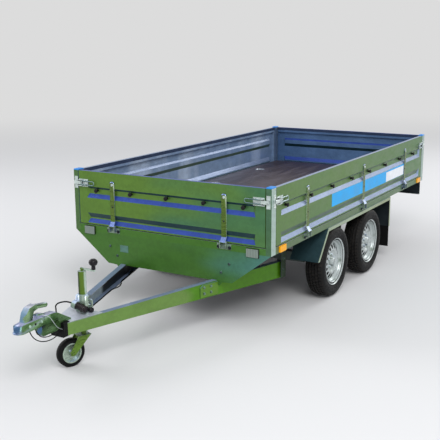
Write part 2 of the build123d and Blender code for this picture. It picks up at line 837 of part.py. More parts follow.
def tyre():
    """Tyre shell about the Y axis, open towards the rim."""
    half = tyre_width / 2
    bead = rim_width / 2 - 1
    tread = tread_width / 2
    wall = tyre_wall
    shoulder = tyre_radius - shoulder_drop
    bulge = (rim_flange_r + 2 + shoulder) / 2
    outer = Line((bead, rim_seat_r), (bead, rim_flange_r + 2))
    outer += ThreePointArc((bead, rim_flange_r + 2), (half, bulge), (tread, shoulder))
    outer += ThreePointArc((tread, shoulder), (0, tyre_radius), (-tread, shoulder))
    outer += ThreePointArc((-tread, shoulder), (-half, bulge), (-bead, rim_flange_r + 2))
    outer += Line((-bead, rim_flange_r + 2), (-bead, rim_seat_r))
    outer += Line((-bead, rim_seat_r), (wall - bead, rim_seat_r))
    outer += Line((wall - bead, rim_seat_r), (wall - bead, rim_flange_r + 2))
    outer += ThreePointArc((wall - bead, rim_flange_r + 2), (wall - half, bulge), (wall - tread, shoulder - wall))
    outer += Line((wall - tread, shoulder - wall), (tread - wall, shoulder - wall))
    outer += ThreePointArc((tread - wall, shoulder - wall), (half - wall, bulge), (bead - wall, rim_flange_r + 2))
    outer += Line((bead - wall, rim_flange_r + 2), (bead - wall, rim_seat_r))
    outer += Line((bead - wall, rim_seat_r), (bead, rim_seat_r))
    return revolve(Plane.YX * make_face(outer), axis=Axis.Y)


def wheels():
    """Four wheels, each a rim and a tyre."""
    rim = wheel_rim()
    rubber = tyre()
    for row, x in (("front", first_axle), ("rear", first_axle - axle_spacing)):
        for side, turn in (("left", 0), ("right", 180)):
            y = wheel_mid_y if side == "left" else -wheel_mid_y
            place = Location((bed_front + x, y, tyre_radius), (0, 0, turn))
            save(f"{row}_{side}_rim", [place * rim])
            save(f"{row}_{side}_tyre", [place * rubber])


def jockey_post():
    """Fixed tube of the jack with its crank, and the clamp that holds it on the gusset."""
    x = bed_front + jockey_x
    beam_top = drawbar_top(jockey_x)
    low = beam_top - jockey_tube_down
    high = beam_top + jockey_tube_up
    bore = jockey_slide_r + running_gap
    tube = rod((x, 0, low), (x, 0, high), jockey_tube_r) - rod((x, 0, low - 1), (x, 0, high - 8), bore)
    stem = rod((x, 0, high - 1), (x, 0, high + 22), crank_r)
    arm = rod((x, -8, high + 15), (x, crank_reach + 10, high + 15), crank_r)
    save("jockey_tube", [fused([tube, stem, arm])])
    outline = [(0, 0), (13, 0), (12, 22), (24, 32), (28, 44), (25, 56), (14, 64), (0, 66)]
    grip = revolve(Plane.XZ * Polygon(*outline, align=None))
    outer_r = jockey_tube_r + clamp_wall
    screw_y = outer_r + clamp_wall + 8
    screw_z = beam_top + clamp_screw
    knob = rod((x, screw_y, screw_z), (x, screw_y + 22, screw_z), clamp_knob_r)
    save("jockey_grip", [Pos(x, crank_reach, high + 15 + crank_r) * grip - arm, knob])
    clamp_z = beam_top + clamp_low
    clamp_top = clamp_z + clamp_height
    collar = rod((x, 0, clamp_z), (x, 0, clamp_top), outer_r)
    foot_z = beam_top + 1
    xs = (x - clamp_foot / 2, x + clamp_foot / 2)
    cheek = block(xs, (outer_r - 3, outer_r + clamp_wall - 3), (foot_z, clamp_top - 6))
    sole = block(xs, (-outer_r, outer_r), (foot_z, foot_z + 11))
    screw = rod((x, outer_r, screw_z), (x, screw_y, screw_z), 6)
    ear = block((x - 4, x + 4), (outer_r + 2, outer_r + 40), (clamp_z - 24, clamp_top - 24))
    hole = rod((x - 9, outer_r + 22, clamp_z + 2), (x + 9, outer_r + 22, clamp_z + 2), 11)
    ear = fillet(ear.edges().filter_by(Axis.X), 12) - hole
    clamp = fused([collar, sole, screw, ear, plug_holder()] + both_sides(cheek))
    clamp = clamp - rod((x, 0, 0), (x, 0, 900), jockey_tube_r) - gusset()
    save("jockey_clamp", [clamp - plug()[0]])


def jockey_wheel_section(inner, outer, wide, corner):
    """Ring about the Y axis with bevelled outer corners."""
    points = [
        (inner, -wide), (outer - corner, -wide), (outer, corner - wide),
        (outer, wide - corner), (outer - corner, wide), (inner, wide),
    ]
    return revolve(Plane.XY * Polygon(*points, align=None), axis=Axis.Y)


def jockey_foot():
    """Sliding tube, fork and wheel of the jack."""
    x = bed_front + jockey_x
    high = drawbar_top(jockey_x) + jockey_tube_up
    fork_top = 2 * jockey_wheel_r + 6
    slider = rod((x, 0, fork_top + 6), (x, 0, high - 130), jockey_slide_r)
    slider = slider - rod((x, 0, fork_top + 5), (x, 0, high), jockey_slide_r - jockey_wall)
    save("jockey_slide", [slider])
    half = jockey_wheel_width / 2 + jockey_fork_gap
    sheet = jockey_fork_sheet
    trail = jockey_trail
    crown = block((-30, trail * 0.55), (-half - sheet, half + sheet), (fork_top, fork_top + sheet))
    pin = rod((0, 0, fork_top), (0, 0, fork_top + jockey_pin_length), jockey_slide_r - jockey_wall - running_gap)
    cheek_face = Plane(origin=(0, half, 0), x_dir=(1, 0, 0), z_dir=(0, -1, 0))
    cheek = [
        (-30, fork_top + sheet), (trail * 0.55, fork_top + sheet), (trail + 16, jockey_wheel_r + 8),
        (trail + 10, jockey_wheel_r - 16), (trail - 14, jockey_wheel_r - 16),
    ]
    cheeks = both_sides(prism(cheek_face, cheek, -sheet))
    reach = half + sheet + 4
    axle_pin = rod((trail, -reach, jockey_wheel_r), (trail, reach, jockey_wheel_r), 6)
    turned = Location((x, 0, 0), (0, 0, jockey_turn))
    save("jockey_fork", [turned * fused([crown, pin, axle_pin] + cheeks)])
    wide = jockey_wheel_width / 2
    inner = jockey_wheel_r - 26
    at = turned * Pos(trail, 0, jockey_wheel_r)
    web = jockey_wheel_section(10, inner - 6, 4, 0.5)
    hub = jockey_wheel_section(6 + running_gap, 16, wide, 2)
    band = jockey_wheel_section(inner - 8, inner, wide, 0.5)
    save("jockey_rim", [at * fused([web, hub, band])])
    save("jockey_tyre", [at * jockey_wheel_section(inner, jockey_wheel_r, wide, 9)])


def guard_outline(inset, drop=0.0):
    """Side view of the mudguard, moved inward by an inset and lengthened downward."""
    rise = rail_bottom - guard_low
    slope = guard_slant / rise
    foot = bed_front + guard_front - inset * hypot(guard_slant, rise) / rise
    rear = bed_front + guard_rear + inset
    top = rail_bottom - inset
    return [
        (foot + slope * drop, guard_low - drop), (foot - slope * (top - guard_low), top),
        (rear, top), (rear, guard_rear_low - drop),
    ]


def mudguard():
    """Left mudguard over both wheels: bent sheet, a lip round the opening and an inner skirt."""
    face = Plane(origin=(0, guard_outer, 0), x_dir=(1, 0, 0), z_dir=(0, -1, 0))
    wide = guard_outer - chassis_rail_y
    outline = guard_outline(0)
    sheet = guard_sheet
    shell = prism(face, outline, wide) - prism(face, guard_outline(sheet, 60), wide)
    lip = prism(face, outline, sheet) - prism(face, guard_outline(guard_lip, 60), sheet)
    skirt = prism(face.offset(wide - sheet), outline, sheet)
    below = block((bed_rear, bed_front), (0, half_width), (0, skirt_low))
    return fused([shell, lip, skirt - below])


def mud_flap():
    """Left rubber flap behind the wheels."""
    rear = bed_front + guard_rear
    return block((rear - 6, rear), (chassis_rail_y + 14, half_width), (flap_low, guard_rear_low + 40))


def lamp_bar():
    """Panel across the rear below the bed, with openings for the lamps."""
    x = bed_rear
    bar = block((x, x + lamp_bar_sheet), (20 - half_width, half_width - 20), (lamp_bar_bottom, rail_bottom))
    lip = block((x, x + 25), (20 - half_width, half_width - 20), (lamp_bar_bottom, lamp_bar_bottom + 3))
    return [bar + lip]


def rear_lamps():
    """Lamp housings on the rear panel."""
    ys = (half_width - 240, half_width - 30)
    lamp = block((bed_rear - 12, bed_rear), ys, (lamp_bar_bottom + 28, rail_bottom - 23))
    return both_sides(fillet(lamp.edges().filter_by(Axis.X), 8))


def front_lamps():
    """Two clear lamps on the bed's front face."""
    lamp = block((bed_front, bed_front + 12), front_lamp_y, front_lamp_z)
    return both_sides(fillet(lamp.edges().filter_by(Axis.X), 4))


def marker_lamps():
    """Four side markers on the edge rails."""
    lamps = []
    for back in side_marker_back:
        x = bed_front - back
        xs = (x - side_marker_half, x + side_marker_half)
        lamp = block(xs, (half_width, half_width + 11), (rail_bottom + 3, rail_top - 2))
        lamps += both_sides(fillet(lamp.edges().filter_by(Axis.Y), 4))
    return lamps


def cord(points, radius, bend):
    """Round cord along a hand-laid route, with every corner bent to one radius."""
    path = FilletPolyline(*points, radius=bend)
    return sweep(Plane(origin=points[0], z_dir=path % 0) * Circle(radius), path=path)


def lead_on_beam():
    """Route of the lead along the right beam's lower flange, with a slack bight near the apron."""
    stops = [
        (-150, 33, 0), (-60, 36, 0), (30, 33, 0), (110, 36, 2), (165, 60, 4), (230, 66, 4), (290, 36, 2),
        (380, 33, 0), (490, 36, 0), (600, 33, 0), (710, 36, 0), (820, 33, 0), (930, 36, 0), (1030, 33, 0),
        (sleeve_front - sleeve_length + cord_seat, 33, 3),
    ]
    rest = drawbar_sheet + lead_r + lead_gap
    return [
        (bed_front + x, inset * beam_stretch() - drawbar_outer(x), drawbar_low(x) + rest + lift)
        for x, inset, lift in stops
    ]


def lead():
    """Lamp lead: one run along the right beam, and one from the sleeve up to the parked plug."""
    x = bed_front
    end = (plug_place() * Pos(0, -plug_length / 2, 0)).position
    square = (plug_place() * Pos(0, -plug_length / 2 - 42, 0)).position
    sleeve_top = drawbar_nose_z[1] + sleeve_wall + 4
    rise = [
        (end.X, end.Y, end.Z), (square.X, square.Y, square.Z), (x + 1012, -106, square.Z),
        (x + 1072, -84, square.Z + 2), (x + 1112, -42, square.Z - 8), (x + 1116, -38, sleeve_top - cord_seat),
    ]
    sleeve = sleeve_block()
    return [cord(lead_on_beam(), lead_r, lead_bend) - sleeve, cord(rise, lead_r, rise_bend) - sleeve]


def plug_place():
    """Place of the parked plug: its axis is local Y, falling towards the left."""
    z = drawbar_top(jockey_x) + plug_rise
    return Location((bed_front + jockey_x + jockey_tube_r + plug_r + 6, 17, z), (-plug_fall, 0, 0))


def plug():
    """Ribbed plug, parked in front of the jockey tube."""
    half = plug_length / 2
    body = rod((0, -half, 0), (0, half, 0), plug_r - 3)
    for i in range(6):
        y = -half + 24 + i * 12
        body = body + rod((0, y, 0), (0, y + 7, 0), plug_r)
    nose = rod((0, half - 16, 0), (0, half, 0), plug_r)
    seat = rod((0, -half + 2, 0), (0, -half + 2 + holder_length / 2, 0), plug_r)
    return [plug_place() * fused([body, nose, seat])]


def plug_holder():
    """Short cup round the plug's cable end, on an arm from the clamp."""
    half = plug_length / 2
    cup = rod((0, -half, 0), (0, holder_length - half, 0), plug_r + holder_wall)
    cup = cup - rod((0, -half - 1, 0), (0, holder_length - half + 1, 0), plug_r)
    x = bed_front + jockey_x
    clamp_z = drawbar_top(jockey_x) + clamp_low
    arm = block((x, x + jockey_tube_r + 12), (-40, -20), (clamp_z - 10, clamp_z + 16))
    return plug_place() * cup + (arm - plug_place() * rod((0, -99, 0), (0, 99, 0), plug_r))


def safety_loop(points):
    """Slack loop below the head, from the flange back into the sleeve."""
    return [cord(points, safety_r, safety_bend) - sleeve_block() - coupling_head()[0]]


def safety_loops():
    """The outer and the inner loop of the safety cable."""
    x = bed_front
    low = coupling_z - coupling_drop
    outer = [
        (x + 1408, 22, low + cord_seat), (x + 1400, 30, 335), (x + 1366, 33, 300), (x + 1318, 34, 275),
        (x + 1256, 34, 264), (x + 1196, 30, 268), (x + sleeve_front - cord_seat, 24, 288),
    ]
    inner = [
        (x + 1366, 24, low + cord_seat), (x + 1356, 34, 332), (x + 1322, 38, 304), (x + 1266, 38, 292),
        (x + 1206, 36, 298), (x + sleeve_front - cord_seat, 34, 312),
    ]
    save("outer_safety_loop", safety_loop(outer))
    save("inner_safety_loop", safety_loop(inner))


def release_wire():
    """Thin wire that arcs from the head's cover down to the sleeve."""
    x = bed_front
    route = [
        (x + 1290, 18 - cord_seat, coupling_z + 40), (x + 1276, 36, coupling_z + 38), (x + 1252, 46, coupling_z + 12),
        (x + 1222, 48, coupling_z - 38), (x + 1192, 44, 318), (x + sleeve_front - cord_seat, 40, 300),
    ]
    return [cord(route, release_wire_r, release_wire_bend) - sleeve_block() - coupling_head()[0]]


def main():
    """Build every node and write it."""
    os.makedirs("parts", exist_ok=True)
    save("platform_frame", platform_frame())
    save("deck", deck())
    save("lashing_rings", lashing_rings())
    save("corner_posts", corner_posts())
    save("post_caps", post_caps())
    boards()
    save("hinge_brackets", hinge_brackets())
    save("latch_catches", latch_catches())
    left_rail, right_rail = both_sides(chassis_rail())
    save("left_chassis_rail", [left_rail])
    save("right_chassis_rail", [right_rail])
    left_beam, right_beam = both_sides(drawbar_beam())
    save("left_drawbar", [left_beam])
    save("right_drawbar", [right_beam])
    save("drawbar_gusset", [gusset()])
    save("apron", apron())
    save("nose_sleeve", nose_sleeve())
    save("coupling_head", coupling_head())
    save("coupling_lever", coupling_lever())
    save("front_axle", axle(bed_front + first_axle))
    save("rear_axle", axle(bed_front + first_axle - axle_spacing))
    wheels()
    jockey_post()
    jockey_foot()
    save("mudguards", both_sides(mudguard()))
    save("mud_flaps", both_sides(mud_flap()))
    save("lamp_bar", lamp_bar())
    save("rear_lamps", rear_lamps())
    save("front_lamps", front_lamps())
    save("marker_lamps", marker_lamps())
    save("lead", lead())
    print(f"bend radii of the lead: {lead_bend} mm on the beam, {rise_bend} mm at the plug")
    save("plug", plug())
    safety_loops()
    save("release_wire", release_wire())


main()
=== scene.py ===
import json
import math

import bmesh
import bpy
from bpy.props import FloatProperty, FloatVectorProperty, IntProperty, PointerProperty
from mathutils import Matrix, Vector


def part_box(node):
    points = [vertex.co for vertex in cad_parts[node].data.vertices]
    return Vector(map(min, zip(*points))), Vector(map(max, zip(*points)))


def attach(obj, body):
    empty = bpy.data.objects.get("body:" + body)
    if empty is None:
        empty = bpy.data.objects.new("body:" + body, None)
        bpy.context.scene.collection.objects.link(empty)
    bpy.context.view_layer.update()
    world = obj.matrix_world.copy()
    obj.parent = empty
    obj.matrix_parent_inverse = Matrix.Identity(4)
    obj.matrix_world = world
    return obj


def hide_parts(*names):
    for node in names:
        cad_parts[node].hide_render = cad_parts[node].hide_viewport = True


# Looks of a tandem-axle dropside trailer, in metres: +X forward, +Y left, +Z up.

bl_info = {
    "name": "Dropside trailer finish",
    "version": (1, 0, 0),
    "blender": (4, 5, 0),
    "location": "3D View > Sidebar > Trailer",
    "description": "Finishes, tyres, fasteners and stage of a dropside utility trailer",
    "category": "Object",
}

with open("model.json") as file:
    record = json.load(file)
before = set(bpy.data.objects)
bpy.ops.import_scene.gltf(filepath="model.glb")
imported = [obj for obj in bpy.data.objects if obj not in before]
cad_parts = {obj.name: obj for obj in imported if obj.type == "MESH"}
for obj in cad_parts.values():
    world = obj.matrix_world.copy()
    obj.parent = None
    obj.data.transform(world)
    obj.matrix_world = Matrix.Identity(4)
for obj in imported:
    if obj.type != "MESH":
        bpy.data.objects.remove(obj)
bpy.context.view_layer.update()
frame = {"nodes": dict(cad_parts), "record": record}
NODES = frame["nodes"]

MM = 0.001
BED_LOW, BED_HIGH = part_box("platform_frame")
FRONT, REAR, HALF = BED_HIGH.x, BED_LOW.x, BED_HIGH.y
BOARD_LOW, BOARD_TOP = (corner.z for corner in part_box("left_board"))
BODY_OF = {
    node: body for body, nodes in frame["record"]["behaviour"]["bodies"].items() for node in nodes
}
STRAPS_FROM_FRONT = (557.0, 1659.0, 2713.0)  # in mm
STRAPS_FROM_MIDDLE = (-467.0, 467.0)
LATCH_HEIGHT = 305 * MM
FILM_THICKNESS = 0.3 * MM

# Tyres: how much of the half width is tread, its ribs, and how far it drops from the middle to its edge
TREAD_SHARE = 0.78
RIBS = 5
CROWN_DROP = 9.5 * MM

# Where a colour changes: painted reflection up an inner side, painted shade along X by the apron, and
# the real colour split across the rear lenses
BROW_FADE = (BOARD_TOP - 30 * MM, BOARD_TOP - 26 * MM)
APRON_SHADE = (FRONT + 0.41, FRONT + 0.35)
LENS_SPLIT = (HALF - 101 * MM, HALF - 99 * MM)
BRIGHT_SIDE = (-0.51, 0.86, 0)  # the way in which the painted highlight on a round tube lies
WHEELS = [f"{row}_{side}" for row in ("front", "rear") for side in ("left", "right")]


def linear(code):
    """Linear RGBA of an sRGB hex colour."""
    channels = [int(code[i:i + 2], 16) / 255 for i in (1, 3, 5)]
    bent = [c / 12.92 if c <= 0.04045 else ((c + 0.055) / 1.055) ** 2.4 for c in channels]
    return (*bent, 1.0)


def colour_of(code, name, description):
    """Colour property with an sRGB hex default."""
    return FloatVectorProperty(
        name=name, description=description, default=linear(code), size=4, min=0, max=1, subtype="COLOR",
    )


def length_of(value, name, description):
    """Length property in metres with a default in millimetres."""
    return FloatProperty(
        name=name, description=description, default=value * MM, min=0, unit="LENGTH", precision=4,
    )


class TrailerSizes(bpy.types.PropertyGroup):
    """Sizes of what is added to the construction."""

    tread_groove: length_of(6.0, "Tread groove", "Depth of the grooves in the tyre tread")
    tread_blocks: IntProperty(name="Tread blocks", description="Blocks round each rib", default=60, min=12)
    band_front: length_of(1000.0, "Band front", "From the front of the bed to the blue band")
    band_rear: length_of(2720.0, "Band rear", "From the front of the bed to the blue band's end")
    block_length: length_of(475.0, "Block length", "Length of the white block in the band")
    bolt_radius: length_of(9.5, "Bolt radius", "Half the width over the corners of the frame bolts")
    rivet_radius: length_of(8.0, "Rivet radius", "Radius of the rivet heads on the straps")
    bezel: length_of(2.5, "Lamp bezel", "Width of the black frame round the lamps")


class TrailerColours(bpy.types.PropertyGroup):
    """Colours of the finishes."""

    band: colour_of("#12a8ee", "Band", "Vinyl band along the left board")
    block: colour_of("#eef1f6", "Block", "Vinyl block at the end of the band")
    caps: colour_of("#2a86d8", "Post caps", "Moulded caps on the corner posts")
    floor: colour_of("#382b2d", "Load floor", "Phenolic film on the plywood floor")


# ---------------------------------------------------------------- materials


def add(tree, kind, inputs=None, **settings):
    """Adds a node with its settings, and sets or links its inputs; a text there is an sRGB hex colour."""
    node = tree.nodes.new("ShaderNode" + kind)
    for name, value in settings.items():
        setattr(node, name, value)
    for socket, value in (inputs or {}).items():
        if isinstance(value, bpy.types.NodeSocket):
            tree.links.new(value, node.inputs[socket])
        else:
            node.inputs[socket].default_value = linear(value) if isinstance(value, str) else value
    return node


def material(name, **surface):
    """New material, its node tree, its shader and a socket with the place on the trailer.

    The surface is given by the shader's sockets, their words joined by underscores.
    """
    made = bpy.data.materials.new(name)
    made.use_nodes = True
    shader = made.node_tree.nodes["Principled BSDF"]
    for socket, value in surface.items():
        shader.inputs[socket.replace("_", " ")].default_value = value
    return made, made.node_tree, shader, add(made.node_tree, "TexCoord").outputs["Object"]


def colour_mix(tree, share, low, high):
    """Socket with one colour mixed into another."""
    return add(tree, "Mix", {0: share, 6: low, 7: high}, data_type="RGBA").outputs[2]


def between(tree, value, low, high, start=0.0, end=1.0):
    """Socket with a value mapped from low..high to start..end, smoothly."""
    inputs = {"Value": value, "From Min": low, "From Max": high, "To Min": start, "To Max": end}
    return add(tree, "MapRange", inputs, interpolation_type="SMOOTHSTEP").outputs[0]


def grain(tree, place, size_mm, detail=2.0):
    """Socket with a soft random value whose blobs are about size_mm wide."""
    inputs = {"Vector": place, "Scale": 1 / (size_mm * MM), "Detail": detail}
    return add(tree, "TexNoise", inputs).outputs[0]


def bump(tree, shader, height, depth_mm, strength=1.0):
    """Gives the shader a bump of that depth."""
    made = add(tree, "Bump", {"Height": height, "Distance": depth_mm * MM, "Strength": strength})
    tree.links.new(made.outputs[0], shader.inputs["Normal"])


def maths(tree, operation, *values):
    """Socket of one calculation."""
    return add(tree, "Math", dict(enumerate(values)), operation=operation).outputs[0]


def vector_maths(tree, operation, *values):
    """Socket of one calculation with vectors; dot products and lengths are numbers."""
    node = add(tree, "VectorMath", dict(enumerate(values)), operation=operation)
    return node.outputs["Value" if operation in ("DOT_PRODUCT", "LENGTH") else "Vector"]


def split(tree, vector):
    """Sockets of a vector's X, Y and Z."""
    return add(tree, "SeparateXYZ", {0: vector}).outputs


def stretched(tree, place, scale):
    """Socket with a place scaled along its axes, so that a pattern in it is drawn out."""
    return add(tree, "Mapping", {"Vector": place, "Scale": scale}).outputs[0]


def toned(tree, shader, colour, value):
    """Feeds the shader a colour whose brightness varies."""
    shade = add(tree, "HueSaturation", {"Color": colour, "Value": value})
    tree.links.new(shade.outputs[0], shader.inputs["Base Color"])


def roughened(tree, shader, value, low, high):
    """Feeds the shader a roughness between two limits that follows a soft random value."""
    tree.links.new(between(tree, value, 0.3, 0.7, low, high), shader.inputs["Roughness"])


def facings(tree, spot):
    """Sockets for how far a face looks out of the trailer, to its side and up, from 0 to 1 or -1 to 1."""
    middle = sum(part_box("deck"), Vector()) / 2
    normal = add(tree, "TexCoord").outputs["Normal"]
    level = vector_maths(tree, "MULTIPLY", vector_maths(tree, "SUBTRACT", spot, middle), (1, 1, 0))
    away = vector_maths(tree, "DOT_PRODUCT", normal, level)
    _, y, z = split(tree, normal)
    sideways = between(tree, maths(tree, "ABSOLUTE", y), 0.35, 0.75)
    return between(tree, away, -0.02, 0.02), sideways, z


def zinc(
    name, end, side, up, down, inside, brow=None, far=None, metallic=0.35, roughness=0.36, spangle=0.05,
    rise=(0.26, 0.42), span=(FRONT, REAR), smear=(120, 0.95, 1.06),
):
    """Hot-dip galvanised sheet: a smooth grey metal with soft zinc crystals.

    It takes the tint of what stands round it, so outward faces are green as grass, and more teal towards
    Its base colour holds painted reflections of what stands round it: outward faces are painted green as
    grass, and more teal towards the left and the rear, faces that look up are painted pale as sky, faces
    that look down get painted shade, and the sides that look into the bed are painted blue grey. Crystals
    are about 10 mm on the real sheet and are drawn twice that.

    brow holds the painted darker reflection along the inner sides' top edge and the colour of the painted
    glare on them; far is the painted shade on the inner sides near the apron. rise is the range of the
    normal's Z over which a face turns up or, if it is negative, down. span is the range of X from the
    sides' first colour to their second. smear holds the blots' size in mm, and their least and most
    brightness.
    """
    made, tree, shader, spot = material(name, Metallic=metallic)
    x, y, z = split(tree, spot)
    outward, sideways, tilt = facings(tree, spot)
    tall = stretched(tree, spot, (1.0, 1.0, 2.6))
    drift = maths(tree, "SUBTRACT", grain(tree, tall, 700, 1.0), 0.5)
    across = between(tree, maths(tree, "MULTIPLY_ADD", drift, 2.2, y), -0.15, 0.7)
    along = between(tree, maths(tree, "MULTIPLY_ADD", drift, 4.0, x), *span)
    # Painted reflections by facing: green as grass outward, more teal to the left and rear
    base = colour_mix(
        tree, sideways, colour_mix(tree, across, *end), colour_mix(tree, along, *side),
    )
    # Painted glare patches on the inner sides, and a painted darker band along their top edge
    if brow:
        glare = between(tree, grain(tree, stretched(tree, spot, (1.0, 1.0, 0.25)), 260), 0.42, 0.68)
        inside = colour_mix(tree, glare, inside, brow[1])
        inside = colour_mix(tree, between(tree, z, *BROW_FADE), inside, brow[0])
    # Painted shade on the inner sides near the apron
    if far:
        inside = colour_mix(tree, between(tree, x, *APRON_SHADE), inside, far)
    base = colour_mix(tree, outward, inside, base)
    # Painted reflection of the sky on faces that look up
    base = colour_mix(tree, between(tree, tilt, *rise), base, up)
    # Painted shade on faces that look down
    base = colour_mix(tree, between(tree, tilt, -rise[0], -rise[1]), base, down)
    crystals = add(tree, "TexVoronoi", {"Vector": spot, "Scale": 1 / (20 * MM)})
    crystal = add(tree, "SeparateColor", {0: crystals.outputs["Color"]}).outputs[0]
    size_mm, least, most = smear
    blot = grain(tree, tall, size_mm, 4.0)
    toned(tree, shader, base, maths(
        tree, "MULTIPLY", between(tree, crystal, 0, 1, 1 - spangle, 1 + spangle),
        between(tree, blot, 0.3, 0.7, least, most),
    ))
    roughened(tree, shader, blot, roughness - 0.05, roughness + 0.08)
    bump(tree, shader, grain(tree, spot, 60), 0.2, 0.4)
    return made


def plated(name, end, side, up, down, inside, metallic=0.5, roughness=0.28, rise=(0.45, 0.8)):
    """Electroplated steel: a brighter, smoother zinc than the dipped sheet, with hardly any crystal, and
    the same painted reflections and shade by facing.
    """
    return zinc(
        name, (end, end), (side, side), up, down, inside, metallic=metallic, roughness=roughness,
        spangle=0.01, rise=rise, smear=(55, 0.85, 1.2),
    )


def tube_zinc(name, dark="#2b3c1c", middle="#547022", light="#b4c6b8", ends="#8c9c94"):
    """Plated round tube with painted reflections: a dark, a green and a bright stripe, as it would mirror
    what stands round it, and paler on faces that look up.
    """
    made, tree, shader, spot = material(name, Metallic=0.1, Specular_IOR_Level=0.25)
    low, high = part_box("jockey_slide")
    radius = (high.y - low.y) / 2 * 1.15
    across = [part / radius for part in BRIGHT_SIDE]
    centred = vector_maths(tree, "SUBTRACT", spot, (low + high) / 2)
    turn = vector_maths(tree, "DOT_PRODUCT", centred, across)
    drift = maths(tree, "SUBTRACT", grain(tree, spot, 60, 2.0), 0.5)
    wear_and_reflection = maths(tree, "MULTIPLY_ADD", drift, 0.5, turn)
    # Painted reflection stripes across the tube: dark, green, and a painted highlight
    base = colour_mix(tree, between(tree, wear_and_reflection, -0.75, -0.3), dark, middle)
    base = colour_mix(tree, between(tree, wear_and_reflection, 0.5, 0.9), base, light)
    # Paler painted reflection on faces that look up
    tilt = split(tree, add(tree, "NewGeometry").outputs["True Normal"])[2]
    base = colour_mix(tree, between(tree, tilt, 0.3, 0.8), base, ends)
    tree.links.new(base, shader.inputs["Base Color"])
    tree.links.new(between(tree, wear_and_reflection, -1, 1, 0.34, 0.42), shader.inputs["Roughness"])
    return made


def moulded(name, colour, grit_mm=1.2, roughness=0.5, shine=0.3):
    """Injection-moulded plastic: even colour with a fine eroded grain, drawn coarser than the real one."""
    made, tree, shader, spot = material(name, Specular_IOR_Level=shine)
    wear_and_reflection = grain(tree, spot, 35, 4.0)
    toned(tree, shader, colour, between(tree, wear_and_reflection, 0.3, 0.7, 0.88, 1.14))
    roughened(tree, shader, wear_and_reflection, roughness - 0.06, roughness + 0.1)
    bump(tree, shader, grain(tree, spot, grit_mm), 0.08)
    return made


def tyre_rubber(name="tyre_rubber", road="#221f1c", fresh="#090a0b"):
    """Vulcanised rubber: charcoal, with road dust on what touches the ground."""
    made, tree, shader, spot = material(name, Specular_IOR_Level=0.25)
    dust = grain(tree, spot, 14, 6.0)
    wear_and_reflection = add(tree, "Attribute", attribute_name="tread").outputs["Fac"]
    share = maths(tree, "MULTIPLY", between(tree, dust, 0.42, 0.62), wear_and_reflection)
    base = colour_mix(tree, share, fresh, road)
    tree.links.new(base, shader.inputs["Base Color"])
    roughened(tree, shader, dust, 0.52, 0.78)
    bump(tree, shader, grain(tree, spot, 2.5), 0.2)
    return made


def waves(tree, spot, scale):
    """Sockets of even waves along X and along Y."""
    inputs = {"Vector": spot, "Scale": scale / math.pi}
    nodes = [add(tree, "TexWave", inputs, bands_direction=axis) for axis in ("X", "Y")]
    return [node.outputs["Fac"] for node in nodes]


def film_plywood(colour):
    """Phenolic-filmed birch plywood: dark brown resin film with a pressed wire-mesh pattern of 4 mm."""
    made, tree, shader, spot = material("film_faced_plywood", Specular_IOR_Level=0.35)
    streaks = grain(tree, stretched(tree, spot, (0.35, 3.0, 1.0)), 160, 5.0)
    base = colour_mix(tree, between(tree, streaks, 0.35, 0.68), colour, "#4e464e")
    tree.links.new(base, shader.inputs["Base Color"])
    roughened(tree, shader, streaks, 0.34, 0.52)
    bump(tree, shader, maths(tree, "MAXIMUM", *waves(tree, spot, 0.25 / (4 * MM))), 0.3, 0.6)
    return made


def enamel(name="silver_wheel_enamel", metallic=0.45, coat=0.4):
    """Aluminium-flake stove enamel: light silver with a soft sparkle, and painted shade round the holes."""
    made, tree, shader, spot = material(name, Metallic=metallic, Coat_Weight=coat, Coat_Roughness=0.15)
    flakes = grain(tree, spot, 3.0, 2.0)
    dirt = grain(tree, spot, 60, 5.0)
    base = colour_mix(tree, between(tree, flakes, 0.3, 0.7), "#a9b3b2", "#ccd4d4")
    base = colour_mix(tree, between(tree, dirt, 0.52, 0.78), base, "#7c8a80")
    # Painted shade round the disc's holes: near black, without metal or coat
    hole_shade = shade_round_holes(tree, spot)
    tree.links.new(colour_mix(tree, hole_shade, base, "#0c0e0f"), shader.inputs["Base Color"])
    tree.links.new(maths(tree, "MULTIPLY_ADD", hole_shade, -metallic, metallic), shader.inputs["Metallic"])
    tree.links.new(maths(tree, "MULTIPLY_ADD", hole_shade, -coat, coat), shader.inputs["Coat Weight"])
    roughened(tree, shader, flakes, 0.28, 0.4)
    return made


def shade_round_holes(tree, spot, count=16, pitch=117 * MM, near=13 * MM, far=17 * MM):
    """Share of painted shade round the holes of the wheels' discs, from 0 to 1; it makes the holes look
    larger and dark.

    Measured from their own centres, the wheels of both axles are one wheel. Each patch is longer towards
    the hub and the rim than it is wide.
    """
    front, rear = (sum(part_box(row + "_left_tyre"), Vector()) / 2 for row in ("front", "rear"))
    middle, half = (front + rear) / 2, (front.x - rear.x) / 2
    place = split(tree, spot)
    from_middle = maths(tree, "ABSOLUTE", maths(tree, "SUBTRACT", place[0], middle.x))
    x = maths(tree, "SUBTRACT", from_middle, half)
    z = maths(tree, "SUBTRACT", place[2], middle.z)
    radius = maths(tree, "SQRT", maths(tree, "MULTIPLY_ADD", x, x, maths(tree, "MULTIPLY", z, z)))
    turns = maths(tree, "MULTIPLY", maths(tree, "ARCTAN2", z, x), float(count))
    along = maths(tree, "MULTIPLY", maths(tree, "ARCCOSINE", maths(tree, "COSINE", turns)), pitch / count)
    across = maths(tree, "MULTIPLY", maths(tree, "SUBTRACT", radius, pitch), 0.7)
    squares = maths(tree, "MULTIPLY_ADD", along, along, maths(tree, "MULTIPLY", across, across))
    return between(tree, maths(tree, "SQRT", squares), far, near)


